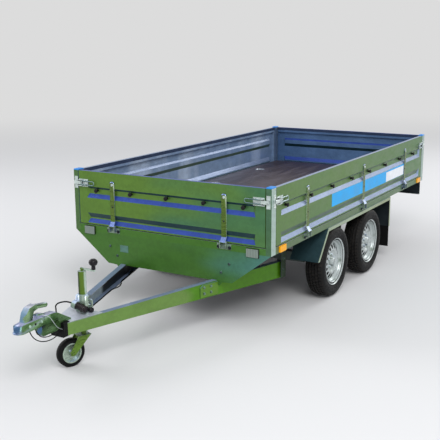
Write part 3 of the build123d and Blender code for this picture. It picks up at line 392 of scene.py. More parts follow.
def lens(name, colour, outer=None, rib_mm=6.0):
    """Moulded polycarbonate lens with upright ribs inside; its outer part may have another colour."""
    made, tree, shader, spot = material(name, Roughness=0.22, Specular_IOR_Level=0.3)
    rib = maths(tree, "MULTIPLY", *waves(tree, spot, 0.5 / (rib_mm * MM)))
    if outer:
        share = between(tree, maths(tree, "ABSOLUTE", split(tree, spot)[1]), *LENS_SPLIT)
        colour = colour_mix(tree, share, colour, outer)
    toned(tree, shader, colour, between(tree, rib, 0, 1, 0.85, 1.25))
    bump(tree, shader, rib, 0.8, 0.5)
    return made


def vinyl(name, colour):
    """Calendered vinyl film: flat colour, slightly uneven where it was squeezed down."""
    made, tree, shader, spot = material(name, Specular_IOR_Level=0.25)
    ripples = grain(tree, spot, 180, 3.0)
    toned(tree, shader, colour, between(tree, ripples, 0.3, 0.7, 0.9, 1.08))
    roughened(tree, shader, ripples, 0.3, 0.42)
    return made


# ---------------------------------------------------------------- pieces


def finish_node(name, made):
    """Gives a construction node its material."""
    NODES[name].data.materials.clear()
    NODES[name].data.materials.append(made)


def ridden(name, data, body):
    """New object that rides on a body."""
    piece = bpy.data.objects.new(name, data)
    bpy.context.scene.collection.objects.link(piece)
    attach(piece, body)
    return piece


def rounded(name, made, angle=35.0):
    """Smooth-shaded copy of a construction node, for what is turned, bent or moulded."""
    bm = bmesh.new()
    bm.from_mesh(NODES[name].data)
    bmesh.ops.remove_doubles(bm, verts=bm.verts, dist=0.02 * MM)
    mesh = bpy.data.meshes.new(name + "_smooth")
    bm.to_mesh(mesh)
    bm.free()
    mesh.materials.clear()
    mesh.materials.append(made)
    mesh.shade_smooth()
    mesh.set_sharp_from_angle(angle=math.radians(angle))
    piece = ridden(name + "_smooth", mesh, BODY_OF[name])
    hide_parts(name)
    return piece


def keep(bm, name, made, body, smooth=None):
    """Turns a bmesh into a piece that rides on a body."""
    bmesh.ops.remove_doubles(bm, verts=bm.verts, dist=0.01 * MM)
    bmesh.ops.recalc_face_normals(bm, faces=bm.faces)
    mesh = bpy.data.meshes.new(name)
    bm.to_mesh(mesh)
    bm.free()
    mesh.materials.append(made)
    if smooth is not None:
        mesh.shade_smooth()
        mesh.set_sharp_from_angle(angle=math.radians(smooth))
    return ridden(name, mesh, body)


def slab(bm, low, high, at=Matrix()):
    """Adds a plain block between two corners of a frame, in mm."""
    low, high = Vector(low) * MM, Vector(high) * MM
    size = Matrix.Diagonal((*(high - low), 1))
    bmesh.ops.create_cube(bm, size=1, matrix=at @ Matrix.Translation((low + high) / 2) @ size)


def cylinder(bm, radius, length, at, segments=14):
    """Adds a capped cylinder about a frame's Z axis."""
    bmesh.ops.create_cone(
        bm, cap_ends=True, segments=segments, radius1=radius, radius2=radius, depth=length, matrix=at,
    )


def heads(name, places, made, body, radius, tall, corners=6):
    """Bolt heads on washers, or domed rivets if corners is 0, at (point, outward) places, as one piece."""
    bm = bmesh.new()
    washer = 0.2 * tall
    for point, outward in places:
        at = Matrix.Translation(point) @ Vector(outward).to_track_quat("Z", "Y").to_matrix().to_4x4()
        if not corners:
            dome = at @ Matrix.Diagonal((1, 1, tall / radius, 1))
            bmesh.ops.create_uvsphere(bm, u_segments=16, v_segments=10, radius=radius, matrix=dome)
            continue
        for segments, r, low, high in ((20, radius * 1.3, 0.0, washer), (corners, radius, washer, tall)):
            middle = Matrix.Translation((0, 0, (low + high) / 2))
            cylinder(bm, r, high - low, at @ middle, segments)
    return keep(bm, name, made, body, smooth=35)


def walls():
    """Each drop board: name, middle of its strap line, the way along it, outward, and its straps."""
    forward, left = Vector((1, 0, 0)), Vector((0, 1, 0))
    return (
        ("front_board", Vector((FRONT, 0, 0)), left, forward, STRAPS_FROM_MIDDLE),
        ("tailboard", Vector((REAR, 0, 0)), left, -forward, STRAPS_FROM_MIDDLE),
        ("left_board", Vector((FRONT, HALF, 0)), -forward, left, STRAPS_FROM_FRONT),
        ("right_board", Vector((FRONT, -HALF, 0)), -forward, -left, STRAPS_FROM_FRONT),
    )


def turned(bm, profile, steps):
    """Full turn of a closed section about the Y axis; the section is (along Y, radius)."""
    verts = [bm.verts.new((0, y, r)) for y, r in profile]
    edges = [bm.edges.new(pair) for pair in zip(verts, verts[1:] + verts[:1])]
    bmesh.ops.spin(
        bm, geom=verts + edges, axis=(0, 1, 0), cent=(0, 0, 0), angle=2 * math.pi, steps=steps,
        use_merge=True,
    )


class TrailerOperator:
    """What the trailer's operators share."""

    bl_options = {"REGISTER", "UNDO"}

    @classmethod
    def poll(cls, context):
        return context.scene is not None


class TRAILER_OT_stage(TrailerOperator, bpy.types.Operator):
    """Camera, lamps and pale floor"""

    bl_idname = "trailer.stage"
    bl_label = "Stage"

    def execute(self, context):
        scene = context.scene
        scene.view_settings.view_transform = "Standard"
        self.camera(scene)
        self.backdrop(scene)
        self.lamp(scene, "key_lamp", (6.5, 5.5, 7.5), 620)
        self.lamp(scene, "fill_lamp", (2.0, -8.0, 5.0), 260)
        self.lamp(scene, "back_lamp", (-8.0, 3.0, 5.0), 260)
        return {"FINISHED"}

    def camera(self, scene, eye=(5.4573, 3.1170, 1.9666), bearing=-149.417, fall=12.76, lean=-0.312):
        """Camera at a standing person's eye, off the front left corner; angles in degrees."""
        data = bpy.data.cameras.new("camera")
        data.lens = 66.0
        data.sensor_width = 36.0
        camera = bpy.data.objects.new("camera", data)
        turn = Matrix.Rotation(math.radians(bearing - 90), 4, "Z")
        tilt = Matrix.Rotation(math.radians(90 - fall), 4, "X")
        roll = Matrix.Rotation(math.radians(lean), 4, "Z")
        camera.matrix_world = Matrix.Translation(eye) @ turn @ tilt @ roll
        scene.collection.objects.link(camera)
        scene.camera = camera

    def lamp(self, scene, name, place, power, size=5.0):
        """Square softbox that faces the trailer."""
        data = bpy.data.lights.new(name, "AREA")
        data.size = size
        data.energy = power
        lamp = bpy.data.objects.new(name, data)
        aim = (Vector((0, 0, 0.5)) - Vector(place)).to_track_quat("-Z", "Y")
        lamp.matrix_world = Matrix.Translation(place) @ aim.to_matrix().to_4x4()
        scene.collection.objects.link(lamp)

    def backdrop(self, scene):
        """Floor that fades into the same pale tone as the world behind it."""
        bm = bmesh.new()
        bmesh.ops.create_circle(bm, cap_ends=True, segments=96, radius=80.0)
        mesh = bpy.data.meshes.new("floor")
        bm.to_mesh(mesh)
        bm.free()
        floor = bpy.data.objects.new("floor", mesh)
        scene.collection.objects.link(floor)
        mesh.materials.append(self.floor_material())
        world = bpy.data.worlds.new("studio")
        scene.world = world
        world.use_nodes = True
        tree = world.node_tree
        path = add(tree, "LightPath").outputs
        seen = maths(tree, "MAXIMUM", path["Is Camera Ray"], path["Is Glossy Ray"])
        seen = maths(tree, "MAXIMUM", seen, path["Is Transmission Ray"])
        pale = colour_mix(tree, seen, "#c9cbd0", "#dcdcdc")
        tree.links.new(pale, tree.nodes["Background"].inputs["Color"])

    def floor_material(self):
        """Seamless studio paper: matt and pale, fading into the backdrop."""
        made, tree, shader, spot = material("studio_paper", Roughness=0.9, Specular_IOR_Level=0.2)
        shader.inputs["Base Color"].default_value = linear("#dedede")
        far = vector_maths(tree, "LENGTH", spot)
        glow = add(tree, "Emission", {"Color": "#dcdcdc"}).outputs[0]
        inputs = {0: between(tree, far, 4.0, 16.0), 1: shader.outputs[0], 2: glow}
        mixed = add(tree, "MixShader", inputs)
        tree.links.new(mixed.outputs[0], tree.nodes["Material Output"].inputs["Surface"])
        return made


class TRAILER_OT_boards(TrailerOperator, bpy.types.Operator):
    """Drop boards with their straps, latches and knobs"""

    bl_idname = "trailer.boards"
    bl_label = "Drop boards"

    def execute(self, context):
        # The boards' colours are painted reflections by facing, with painted shade on faces that look down;
        # end and side boards are one galvanised sheet in two painted copies
        ends = zinc(
            "galvanised_end_boards", ("#587c2a", "#40704a"), ("#587c2a", "#40704a"),
            "#2c489c", "#1a3a42", "#55749c", ("#2c3c5a", "#5c7ca6"),
        )
        sides = zinc(
            "galvanised_side_boards", ("#587a3c", "#527848"), ("#587a3c", "#527848"),
            "#8c9cb8", "#4c6650", "#8098b6", ("#2c3c5a", "#b0c2d8"),
        )
        # The straps are one plating in two copies: painted dark green on the outward face, with a painted
        # highlight on the edges
        end_straps = plated(
            "bright_zinc_end_straps", "#546c26", "#b4c4ae", "#7d92d0", "#1a2614", "#66788c",
            rise=(0.15, 0.45),
        )
        side_straps = plated(
            "bright_zinc_side_straps", "#b4c4ae", "#5c7236", "#a8b6d8", "#1a2614", "#66788c",
            rise=(0.15, 0.45),
        )
        brackets = plated("bright_zinc_brackets", "#7c8f80", "#8a9c8c", "#9fb0da", "#1a2614", "#66788c")
        # The latches' plating: a brighter painted reflection than the straps'
        silver = plated(
            "bright_zinc_latches", "#c2ceca", "#d2dcd8", "#e6ecf4", "#2c3a30", "#7c8c96",
            rise=(0.6, 0.9),
        )
        black = moulded("black_polyamide", "#08080a")
        for board, middle, along, outward, straps in walls():
            sheet, strap = (sides, side_straps) if outward.y else (ends, end_straps)
            finish_node(board, sheet)
            self.brighten_claws(rounded(board + "_fittings", strap), silver, middle, along, straps)
            rounded(board + "_knobs", black)
        finish_node("hinge_brackets", brackets)
        finish_node("latch_catches", silver)
        self.latches(silver, black)
        bright = plated("zinc_rivet", "#aebcb4", "#c2cdd0", "#dfe6f2", "#3a4438", "#8090a0")
        self.fasteners(context.scene.trailer_sizes, bright)
        return {"FINISHED"}

    def brighten_claws(self, piece, silver, middle, along, straps, reach=70 * MM):
        """Gives the fittings away from the straps the latches' plating, with a brighter painted reflection.
        """
        piece.data.materials.append(silver)
        for face in piece.data.polygons:
            spot = (face.center - middle).dot(along)
            face.material_index = int(all(abs(spot - place * MM) > reach for place in straps))

    def latches(self, silver, black):
        """Latches on the boards, and the plates on the posts that their claws reach over."""
        # The handles: the latches' plating with a darker painted reflection
        handle_dark_reflection = plated("zinc_latch_handles", "#4c6e66", "#8ea4a0", "#a8b8c8", "#203028", "#5c6c78")
        plates = bmesh.new()
        for board, _, along, outward, _ in walls():
            bodies, handles, springs = bmesh.new(), bmesh.new(), bmesh.new()
            for at in self.latch_frames(board, along, outward):
                self.latch_body(bodies, at)
                self.latch_handle(handles, at)
                cylinder(springs, 7 * MM, 38 * MM, at @ Matrix.Translation((-14 * MM, 8 * MM, 0)), 16)
                slab(plates, (9, 0, -44), (38, 2, 44), at)
            keep(bodies, board + "_latches", silver, board, smooth=35)
            keep(handles, board + "_latch_handles", handle_dark_reflection, board, smooth=35)
            keep(springs, board + "_latch_springs", black, board, smooth=35)
        keep(plates, "latch_plates", silver, "chassis")

    def latch_frames(self, board, along, outward):
        """Frames at both ends of a board at latch height: X to its end, Y outward, Z up."""
        low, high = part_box(board)
        centre, size = (low + high) / 2, high - low
        centre.z = BOARD_LOW + LATCH_HEIGHT
        face = outward * (abs(size.dot(outward)) / 2)
        for way in (along, -along):
            spot = centre + face + way * (abs(size.dot(along)) / 2)
            turn = Matrix((way, outward, Vector((0, 0, 1)))).transposed().to_4x4()
            yield Matrix.Translation(spot) @ turn

    def latch_body(self, bm, at):
        """Base plate with four rivets and two cheeks, behind the claw."""
        slab(bm, (-88, 0, -28), (-4, 4, 28), at)
        for side in (1, -1):
            slab(bm, (-42, 3, 21 * side - 2), (-6, 20, 21 * side + 2), at)
            for x in (-78, -58):
                dome = at @ Matrix.Translation((x * MM, 4 * MM, 20 * side * MM))
                bmesh.ops.create_uvsphere(bm, u_segments=10, v_segments=6, radius=4 * MM, matrix=dome)

    def latch_handle(self, bm, at, bar=4 * MM, half=14 * MM, out=13 * MM, pin=-30 * MM, bend=-134 * MM):
        """U-shaped bar handle on its pin; the bend is spun in its own frame and then placed."""
        quarter = Matrix.Rotation(math.pi / 2, 4, "Y")
        for side in (1, -1):
            middle = Matrix.Translation(((pin + bend) / 2, out, side * half))
            cylinder(bm, bar, pin - bend, at @ middle @ quarter)
        cylinder(bm, bar, 50 * MM, at @ Matrix.Translation((pin, out, 0)))
        before = set(bm.verts)
        ring = bmesh.ops.create_circle(bm, segments=14, radius=bar)["verts"]
        bmesh.ops.transform(bm, verts=ring, matrix=Matrix.Translation((bend, out, half)) @ quarter)
        edges = list({edge for vert in ring for edge in vert.link_edges})
        bmesh.ops.spin(
            bm, geom=ring + edges, axis=(0, -1, 0), cent=(bend, out, 0), angle=math.pi, steps=16,
        )
        bmesh.ops.transform(bm, verts=[vert for vert in bm.verts if vert not in before], matrix=at)

    def fasteners(self, sizes, bright, top=308 * MM, foot=146 * MM, bracket=-32 * MM):
        """Domed rivets up the straps, and bolts in the hinge brackets, by height over the boards' foot."""
        dark = plated("oiled_steel_rivet", "#1c2226", "#1c2226", "#4c5a70", "#101214", "#1c2226", 0.6, 0.4)
        bolts = []
        for board, middle, along, outward, straps in walls():
            tops, feet = [], []
            for place in straps:
                point = middle + along * place * MM + outward * 6 * MM
                tops.append((point + Vector((0, 0, BOARD_LOW + top)), outward))
                feet.append((point + Vector((0, 0, BOARD_LOW + foot)), outward))
                for side in (-43, 43):
                    spot = middle + along * (place + side) * MM + outward * 4 * MM
                    bolts.append((spot + Vector((0, 0, BOARD_LOW + bracket)), outward))
            heads(board + "_rivets", tops, bright, board, sizes.rivet_radius * 1.2, 5 * MM, corners=0)
            heads(board + "_lower_rivets", feet, dark, board, sizes.rivet_radius * 0.8, 3 * MM, corners=0)
        heads("bracket_bolts", bolts, dark, "chassis", sizes.bolt_radius, 7 * MM)


class TRAILER_OT_frame(TrailerOperator, bpy.types.Operator):
    """Bed frame, posts, chassis and drawbar"""

    bl_idname = "trailer.frame"
    bl_label = "Frame and drawbar"

    def execute(self, context):
        # Every row holds painted reflections by facing; the chassis row is dark as painted shade under the
        # bed
        finishes = (
            ("bed", ("#40701f", "#45742f"), ("#5c7450", "#577450"), "#aab2c0", "#26382c", "#50617c"),
            ("posts", ("#4a6c3a", "#44694c"), ("#a6bbb2", "#9db2aa"), "#a9b6c8", "#30493a", "#5f7390"),
            ("apron", ("#3e6c22", "#487c72"), ("#5c8628", "#5c8628"), "#6c84b8", "#20382a", "#3a4a56"),
            ("drawbar", ("#62863a", "#668a3c"), ("#688a40", "#4c8208"), "#8494b4", "#2c3c28", "#b4c0c6"),
            ("gusset", ("#7c9080", "#7c9080"), ("#7c9080", "#7c9080"), "#c2c8d4", "#2c3c28", "#5a6a70"),
            ("chassis", ("#34423a", "#3c4a46"), ("#3c4a3a", "#3a4a34"), "#66727a", "#181e20", "#20282c"),
            ("mudguards", ("#304a50", "#304a50"), ("#a0b096", "#93a07c"), "#7c8c90", "#1c2422", "#262f34"),
        )
        # The drawbar's far colour is painted shade inside the beams near the apron
        more = {
            "drawbar": {"far": "#0c1012", "span": (FRONT + 0.5, FRONT)},
            "mudguards": {"rise": (0.8, 0.95)},
        }
        nodes = {
            "bed": ("platform_frame",),
            "posts": ("corner_posts",),
            "drawbar": ("left_drawbar", "right_drawbar"),
            "gusset": ("drawbar_gusset",),
            "chassis": ("left_chassis_rail", "right_chassis_rail", "front_axle", "rear_axle"),
            "mudguards": ("mudguards", "lamp_bar"),
        }
        for part, *colours in finishes:
            made = zinc("galvanised_" + part, *colours, **more.get(part, {}))
            for name in nodes.get(part, (part,)):
                finish_node(name, made)
        rings = plated("zinc_lashing_rings", "#aab4ba", "#aab4ba", "#c9cfd6", "#3a4044", "#8a949c")
        rounded("lashing_rings", rings)
        self.fasteners(context.scene.trailer_sizes)
        self.type_plate()
        return {"FINISHED"}

    def fasteners(self, sizes):
        """Bolts in the beams' brackets, the beams' tails and the apron."""
        bright = plated("zinc_frame_bolts", "#3d5348", "#6f8a72", "#a8b8d0", "#20282a", "#3c4a50")
        low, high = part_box("left_drawbar")
        nose_y = 45 * MM
        lean = math.atan2(high.y - nose_y, high.x - low.x)
        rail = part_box("left_chassis_rail")[0].z
        places = []
        for side in (1, -1):
            outward = Vector((math.sin(lean), side * math.cos(lean), 0))
            for back, z in ((118, 322), (118, 280), (60, 322), (60, 280)):
                x = FRONT + back * MM
                y = high.y - (x - low.x) * math.tan(lean) + 6 * MM / math.cos(lean)
                places.append((Vector((x, side * y, z * MM)), outward))
            for rise in (145, 60):
                spot = Vector((low.x + 28 * MM, side * (high.y + 5 * MM), rail + rise * MM))
                places.append((spot, Vector((0, side, 0))))
            for y, z in ((504, 474), (440, 408)):
                places.append((Vector((FRONT, side * y * MM, z * MM)), Vector((1, 0, 0))))
        heads("frame_bolts", places, bright, "chassis", sizes.bolt_radius * 0.85, 7 * MM)

    def type_plate(self):
        """Small blank plate on the right of the apron."""
        bm = bmesh.new()
        slab(bm, (0, -412, 442), (2, -340, 492), Matrix.Translation((FRONT, 0, 0)))
        # The plate's colours by facing are painted reflections
        grey = plated("anodised_plate", "#557c70", "#557c70", "#8fa6b8", "#30383c", "#557c70", 0.4, 0.45)
        keep(bm, "blank_type_plate", grey, "chassis")


class TRAILER_OT_deck(TrailerOperator, bpy.types.Operator):
    """Plywood floor"""

    bl_idname = "trailer.deck"
    bl_label = "Load floor"

    def execute(self, context):
        finish_node("deck", film_plywood(context.scene.trailer_colours.floor))
        return {"FINISHED"}


class TRAILER_OT_front_gear(TrailerOperator, bpy.types.Operator):
    """Coupling, jockey wheel, lead and safety loops"""

    bl_idname = "trailer.front_gear"
    bl_label = "Coupling and jockey wheel"

    def execute(self, context):
        # The coupling's and lever's colours are painted reflections by facing
        head = plated(
            "bright_zinc_coupling", "#41648a", "#527446", "#a2a8c8", "#101a14", "#46683a", rise=(0.6, 0.9),
        )
        lever = plated(
            "bright_zinc_lever", "#6e8ca4", "#7c9a70", "#c6ccdc", "#1c2a20", "#5c7c50", rise=(0.5, 0.9),
        )
        rounded("coupling_head", head, 28)
        rounded("coupling_lever", lever, 40)
        tube = tube_zinc("bright_zinc_tube")
        for name in ("jockey_tube", "jockey_slide"):
            rounded(name, tube, 15)
        # The jockey parts' colours are painted reflections; the fork is painted green as grass
        silver = plated("bright_zinc_jockey", "#8fa494", "#a3b4a4", "#bccbe4", "#3a4a38", "#94a49c")
        green = plated("bright_zinc_fork", "#5c7c2c", "#60802c", "#9fb2a8", "#1c2814", "#48602c")
        rounded("jockey_clamp", silver)
        rounded("jockey_rim", silver, 15)
        finish_node("jockey_fork", green)
        rubber = moulded("black_rubber", "#040506", 2.0, 0.6, 0.2)
        for name in ("nose_sleeve", "mud_flaps"):
            finish_node(name, rubber)
        rounded("jockey_tyre", rubber, 30)
        rounded("jockey_grip", moulded("black_moulding", "#0e0a12", 1.2, 0.3), 40)
        rounded("plug", moulded("plug_moulding", "#1a1214", 1.2, 0.4), 40)
        self.coupling_details(context.scene.trailer_sizes)
        steel = plated("release_wire_steel", "#b8c2c0", "#b8c2c0", "#e0e6e2", "#707a78", "#b8c2c0", 0.6, 0.3)
        self.cords(rubber, steel)
        return {"FINISHED"}

    def coupling_details(self, sizes):
        """Bolts through the head and the dark slot between them, on both sides."""
        bright = plated("zinc_coupling_bolts", "#b8d0c0", "#b8d8c0", "#dfe8f0", "#4a5a50", "#b8c2c0")
        # Dark domes of painted shadow where the slot lies
        dark = moulded("slot_shadow", "#0c0906", 2.0, 0.8)
        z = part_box("coupling_head")[0].z + 96 * MM
        bolts, slot_shadows = [], []
        # Bolts through the head, and domes of painted shadow for the dark slot between them, on both sides.
        for side in (1, -1):
            outward = Vector((0, side, 0))
            for places, x, y in ((bolts, 1411, 32.0), (bolts, 1315, 29.4), (slot_shadows, 1364, 30.4)):
                places.append((Vector((FRONT + x * MM, side * y * MM, z)), outward))
        heads("coupling_bolts", bolts, bright, "chassis", sizes.rivet_radius * 0.8, 6 * MM)
        heads("coupling_slot_shadows", slot_shadows, dark, "chassis", 8 * MM, 1.5 * MM, corners=0)

    def cords(self, rubber, steel):
        """Safety loops, release wire, and the lamp lead from the sleeve to its parked plug."""
        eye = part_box("coupling_head")[0].z + 69 * MM
        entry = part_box("nose_sleeve")[1].x - FRONT
        outer = [
            (1.408, 0.022, eye), (1.400, 0.030, 0.335), (1.366, 0.033, 0.300), (1.318, 0.034, 0.275),
            (1.256, 0.034, 0.264), (1.196, 0.030, 0.268), (entry, 0.024, 0.288),
        ]
        inner = [
            (1.366, 0.024, eye), (1.356, 0.034, 0.332), (1.322, 0.038, 0.304), (1.266, 0.038, 0.292),
            (1.206, 0.036, 0.298), (entry, 0.034, 0.312),
        ]
        wire = [
            (1.290, 0.018, 0.425), (1.276, 0.036, 0.423), (1.252, 0.046, 0.397),
            (1.222, 0.048, 0.347), (1.192, 0.044, 0.318), (entry, 0.040, 0.300),
        ]
        rise = [
            (1.116, -0.038, 0.338), (1.112, -0.042, 0.3915), (1.072, -0.084, 0.4015),
            (1.012, -0.106, 0.3997), (0.968, -0.0725, 0.3997), (0.968, -0.0317, 0.3902),
        ]
        self.cord("outer_safety_loop", outer, 6 * MM, rubber)
        self.cord("inner_safety_loop", inner, 6 * MM, rubber)
        self.cord("release_wire", wire, 4 * MM, steel)
        self.cord("lead", rise, 9 * MM, rubber, "plug", ["plug"])
        self.cord("lead", self.beam_run(), 9 * MM, rubber)

    def beam_run(self, tail=-628, length=1772, taper=586, climb=14, rest=9):
        """Route of the lead along the right beam's lower flange, from the bed to the sleeve.

        Sizes are in mm. The beam starts at tail, closes in by taper and climbs over its length. The lead
        rests above the flange's underside. Stops are (from the bed's front, inside the beam, lifted).
        """
        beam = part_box("right_drawbar")[0] / MM
        sleeve = (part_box("nose_sleeve")[0].x - FRONT) / MM
        stops = (
            (-150, 33, 0), (-60, 36, 0), (30, 33, 0), (110, 36, 2), (165, 60, 4), (230, 66, 4),
            (290, 36, 2), (380, 33, 0), (490, 36, 0), (600, 33, 0), (710, 36, 0), (820, 33, 0),
            (930, 36, 0), (1030, 33, 0), (sleeve + 4, 33, 3),
        )
        slant = math.hypot(length, taper) / length
        route = []
        for x, inset, lift in stops:
            share = (x - tail) / length
            y = beam.y + share * taper + inset * slant
            route.append((x * MM, y * MM, (beam.z + share * climb + rest + lift) * MM))
        return route

    def cord(self, node, points, diameter, made, far_end="object", ends=()):
        """Round cord on one smooth line; its points are measured from the front of the bed."""
        data = bpy.data.curves.new(node + "_cord", "CURVE")
        data.dimensions = "3D"
        data.bevel_depth = diameter / 2
        data.bevel_resolution = 3
        spline = data.splines.new("NURBS")
        spline.points.add(len(points) - 1)
        route = [Vector((FRONT + x, y, z)) for x, y, z in points]
        for knot, point in zip(spline.points, route):
            knot.co = (*point, 1)
        spline.order_u = 3
        spline.use_endpoint_u = True
        data.materials.append(made)
        piece = ridden(node + "_cord", data, "chassis")
        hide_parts(node)
        # The smooth line is a little shorter than the straight legs between its points
        length = sum((b - a).length for a, b in zip(route, route[1:]))
        tuple(route[0])


class TRAILER_OT_lamps(TrailerOperator, bpy.types.Operator):
    """Lamps with their bezels, and the post caps"""

    bl_idname = "trailer.lamps"
    bl_label = "Lamps and caps"

    def execute(self, context):
        rounded("marker_lamps", lens("amber_lens", "#ffb000"), 12)
        rounded("front_lamps", lens("clear_lens", "#78837c"), 12)
        rounded("rear_lamps", lens("red_and_amber_lens", "#a01414", "#f08a10"), 12)
        caps = moulded("blue_polypropylene", context.scene.trailer_colours.caps, 1.2, 0.4)
        finish_node("post_caps", caps)
        self.bezels(context.scene.trailer_sizes.bezel)
        return {"FINISHED"}

    def bezels(self, rim):
        """Black frames behind the lenses of the front and rear lamps."""
        black = moulded("black_lamp_base", "#0b0c10", 1.5, 0.4)
        bm = bmesh.new()
        for node, depth in (("front_lamps", 7 * MM), ("rear_lamps", 8 * MM)):
            low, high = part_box(node)
            inner = min(abs(vert.co.y) for vert in NODES[node].data.vertices) - rim
            outer = high.y + rim
            size = Vector((depth, outer - inner, high.z - low.z + 2 * rim))
            for y in (inner, -outer):
                corner = Vector((low.x if node == "front_lamps" else high.x - depth, y, low.z - rim))
                slab(bm, corner / MM, (corner + size) / MM)
        keep(bm, "lamp_bezels", black, "chassis")


class TRAILER_OT_wheels(TrailerOperator, bpy.types.Operator):
    """Road wheels: enamelled rims and treaded tyres"""

    bl_idname = "trailer.wheels"
    bl_label = "Road wheels"

    def execute(self, context):
        sizes = context.scene.trailer_sizes
        rubber = tyre_rubber()
        silver = enamel()
        # Near-black painted shade for the hub and the faces behind the disc
        wheel_shade = moulded("painted_wheel_shade", "#0a0a0a", 2.0, 0.8, 0.1)
        for wheel in WHEELS:
            low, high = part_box(wheel + "_tyre")
            centre = (low + high) / 2
            side = 1 if centre.y > 0 else -1
            self.rim(wheel, centre, side, silver, wheel_shade)
            piece = self.tyre(wheel, centre, (high.z - low.z) / 2, high.y - low.y, sizes, rubber)
            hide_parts(wheel + "_tyre")
            self.bolts(wheel, centre, side, sizes)
        return {"FINISHED"}

    def rim(self, wheel, centre, side, silver, wheel_shade, disc=128 * MM, face=22 * MM):
        """Enamelled rim, with painted shade on its hub and on the faces behind its disc."""
        piece = rounded(wheel + "_rim", silver, 30)
        piece.data.materials.append(wheel_shade)
        for polygon in piece.data.polygons:
            spot = polygon.center - centre
            depth = spot.y * side
            near = math.hypot(spot.x, spot.z) < disc
            polygon.material_index = int(depth < 0 or near and depth < face)

    def bolts(self, wheel, centre, side, sizes, circle=50 * MM, out=30 * MM):
        """Five wheel bolts round the hub."""
        places = []
        for i in range(5):
            angle = math.radians(72 * i + 20)
            spot = Vector((math.cos(angle) * circle, side * out, math.sin(angle) * circle))
            places.append((centre + spot, Vector((0, side, 0))))
        bright = bpy.data.materials["zinc_rivet"]
        heads(wheel + "_bolts", places, bright, wheel + "_wheel", sizes.bolt_radius, 12 * MM)

    def tyre(self, wheel, centre, radius, width, sizes, rubber):
        """Tyre with four grooves round it and cross cuts between the blocks."""
        half = width / 2
        tread = half * TREAD_SHARE
        rib = 2 * tread / RIBS
        steps = sizes.tread_blocks * 3
        bm = bmesh.new()
        turned(bm, self.section(radius, half, tread, rib, sizes.tread_groove), steps)
        self.cut_blocks(bm, radius, rib, sizes.tread_groove, steps)
        layer = bm.verts.layers.float.new("tread")
        for vert in bm.verts:
            reach = math.hypot(vert.co.x, vert.co.z)
            vert[layer] = max(0.0, min(1.0, (reach - radius + 24 * MM) / (12 * MM)))
        bmesh.ops.translate(bm, verts=bm.verts, vec=centre)
        return keep(bm, wheel + "_treaded_tyre", rubber, wheel + "_wheel", smooth=34)

    def section(
        self, radius, half, tread, rib, groove, bead=56 * MM, seat=166.5 * MM, wall=12 * MM, gap=3.5 * MM,
    ):
        """Closed section of a tyre as (along Y, radius), over the tread and back along the inside."""
        flank = [(bead, seat), (bead + 4 * MM, 184 * MM)]
        bulge = ((0.93, 200), (0.985, 215), (1.0, 228), (0.975, 243), (0.9, 255))
        flank += [(half * share, reach * MM) for share, reach in bulge]
        top = []
        for i in range(RIBS):
            start = tread - i * rib
            end = start - rib
            last = i == RIBS - 1
            for w in (start if i == 0 else start - gap, end if last else end + gap):
                top.append((w, radius - self.crown(w / tread)))
            if not last:
                low = radius - groove - self.crown(end / tread)
                top += [(end + gap * 0.55, low), (end - gap * 0.55, low)]
        lining = [(tread, radius - CROWN_DROP - wall), (half - wall, 228 * MM), (bead - wall, seat)]
        far_flank, far_lining = ([(-w, r) for w, r in reversed(points)] for points in (flank, lining))
        return flank + top + far_flank + far_lining + lining

    def crown(self, share):
        """How far the tread has dropped at a share of its half width."""
        return CROWN_DROP * abs(share) ** 2.2

    def cut_blocks(self, bm, radius, rib, groove, steps):
        """Sinks every third face of each rib, out of step from rib to rib."""
        cuts = []
        for face in bm.faces:
            middle = face.calc_center_median()
            reach = math.hypot(middle.x, middle.z)
            if reach < radius - CROWN_DROP - MM or abs(face.normal.y) > 0.5:
                continue
            turn = math.atan2(middle.z, middle.x) / (2 * math.pi)
            step = int(round(turn * steps - 0.5)) % steps
            row = int((middle.y + RIBS / 2 * rib) // rib)
            if (step + row * 2) % 3 == 0:
                cuts.append(face)
        for face in bmesh.ops.extrude_discrete_faces(bm, faces=cuts)["faces"]:
            middle = face.calc_center_median()
            inwards = Vector((-middle.x, 0, -middle.z)).normalized() * groove * 0.8
            bmesh.ops.translate(bm, verts=face.verts, vec=inwards)


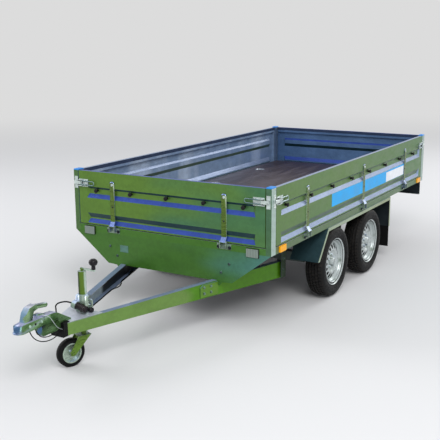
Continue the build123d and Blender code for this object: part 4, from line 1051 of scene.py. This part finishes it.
class TRAILER_OT_bands(TrailerOperator, bpy.types.Operator):
    """Bare vinyl bands on the left board"""

    bl_idname = "trailer.bands"
    bl_label = "Vinyl bands"

    def execute(self, context):
        sizes = context.scene.trailer_sizes
        colours = context.scene.trailer_colours
        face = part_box("left_board")[1].y
        low, high = BOARD_LOW + 96 * MM, BOARD_LOW + 195 * MM
        start, end = FRONT - sizes.band_rear, FRONT - sizes.band_front
        film = self.film((start, end), (low, high), face)
        keep(film, "left_band", vinyl("blue_vinyl", colours.band), "left_board")
        start += 30 * MM
        film = self.film(
            (start, start + sizes.block_length), (low + 2 * MM, high - 14 * MM), face + FILM_THICKNESS,
        )
        keep(film, "left_block", vinyl("white_vinyl", colours.block), "left_board")
        return {"FINISHED"}

    def film(self, x, z, y):
        """Thin flat sheet on an upright face that looks to the left."""
        bm = bmesh.new()
        corners = [(x[0], y, z[0]), (x[1], y, z[0]), (x[1], y, z[1]), (x[0], y, z[1])]
        bm.faces.new([bm.verts.new(corner) for corner in corners])
        made = bmesh.ops.extrude_face_region(bm, geom=bm.faces[:])
        moved = [item for item in made["geom"] if isinstance(item, bmesh.types.BMVert)]
        bmesh.ops.translate(bm, verts=moved, vec=(0, FILM_THICKNESS, 0))
        return bm


class TRAILER_PT_panel(bpy.types.Panel):
    """Lists the trailer's pieces"""

    bl_idname = "TRAILER_PT_panel"
    bl_label = "Dropside trailer"
    bl_space_type = "VIEW_3D"
    bl_region_type = "UI"
    bl_category = "Trailer"

    def draw(self, context):
        for operator in OPERATORS:
            self.layout.operator(operator.bl_idname)
        for group in (context.scene.trailer_sizes, context.scene.trailer_colours):
            for name in group.__annotations__:
                self.layout.prop(group, name)


OPERATORS = (
    TRAILER_OT_stage,
    TRAILER_OT_frame,
    TRAILER_OT_boards,
    TRAILER_OT_deck,
    TRAILER_OT_front_gear,
    TRAILER_OT_lamps,
    TRAILER_OT_wheels,
    TRAILER_OT_bands,
)
CLASSES = (TrailerSizes, TrailerColours, *OPERATORS, TRAILER_PT_panel)


def register():
    """Adds the classes and the scene's settings."""
    for cls in CLASSES:
        bpy.utils.register_class(cls)
    bpy.types.Scene.trailer_sizes = PointerProperty(type=TrailerSizes)
    bpy.types.Scene.trailer_colours = PointerProperty(type=TrailerColours)


def unregister():
    """Takes them away again."""
    del bpy.types.Scene.trailer_sizes
    del bpy.types.Scene.trailer_colours
    for cls in reversed(CLASSES):
        bpy.utils.unregister_class(cls)


def main():
    """Makes every piece."""
    register()
    for operator in OPERATORS:
        group, name = operator.bl_idname.split(".")
        getattr(getattr(bpy.ops, group), name)()
    bpy.context.view_layer.update()


if __name__ == "__main__":
    main()
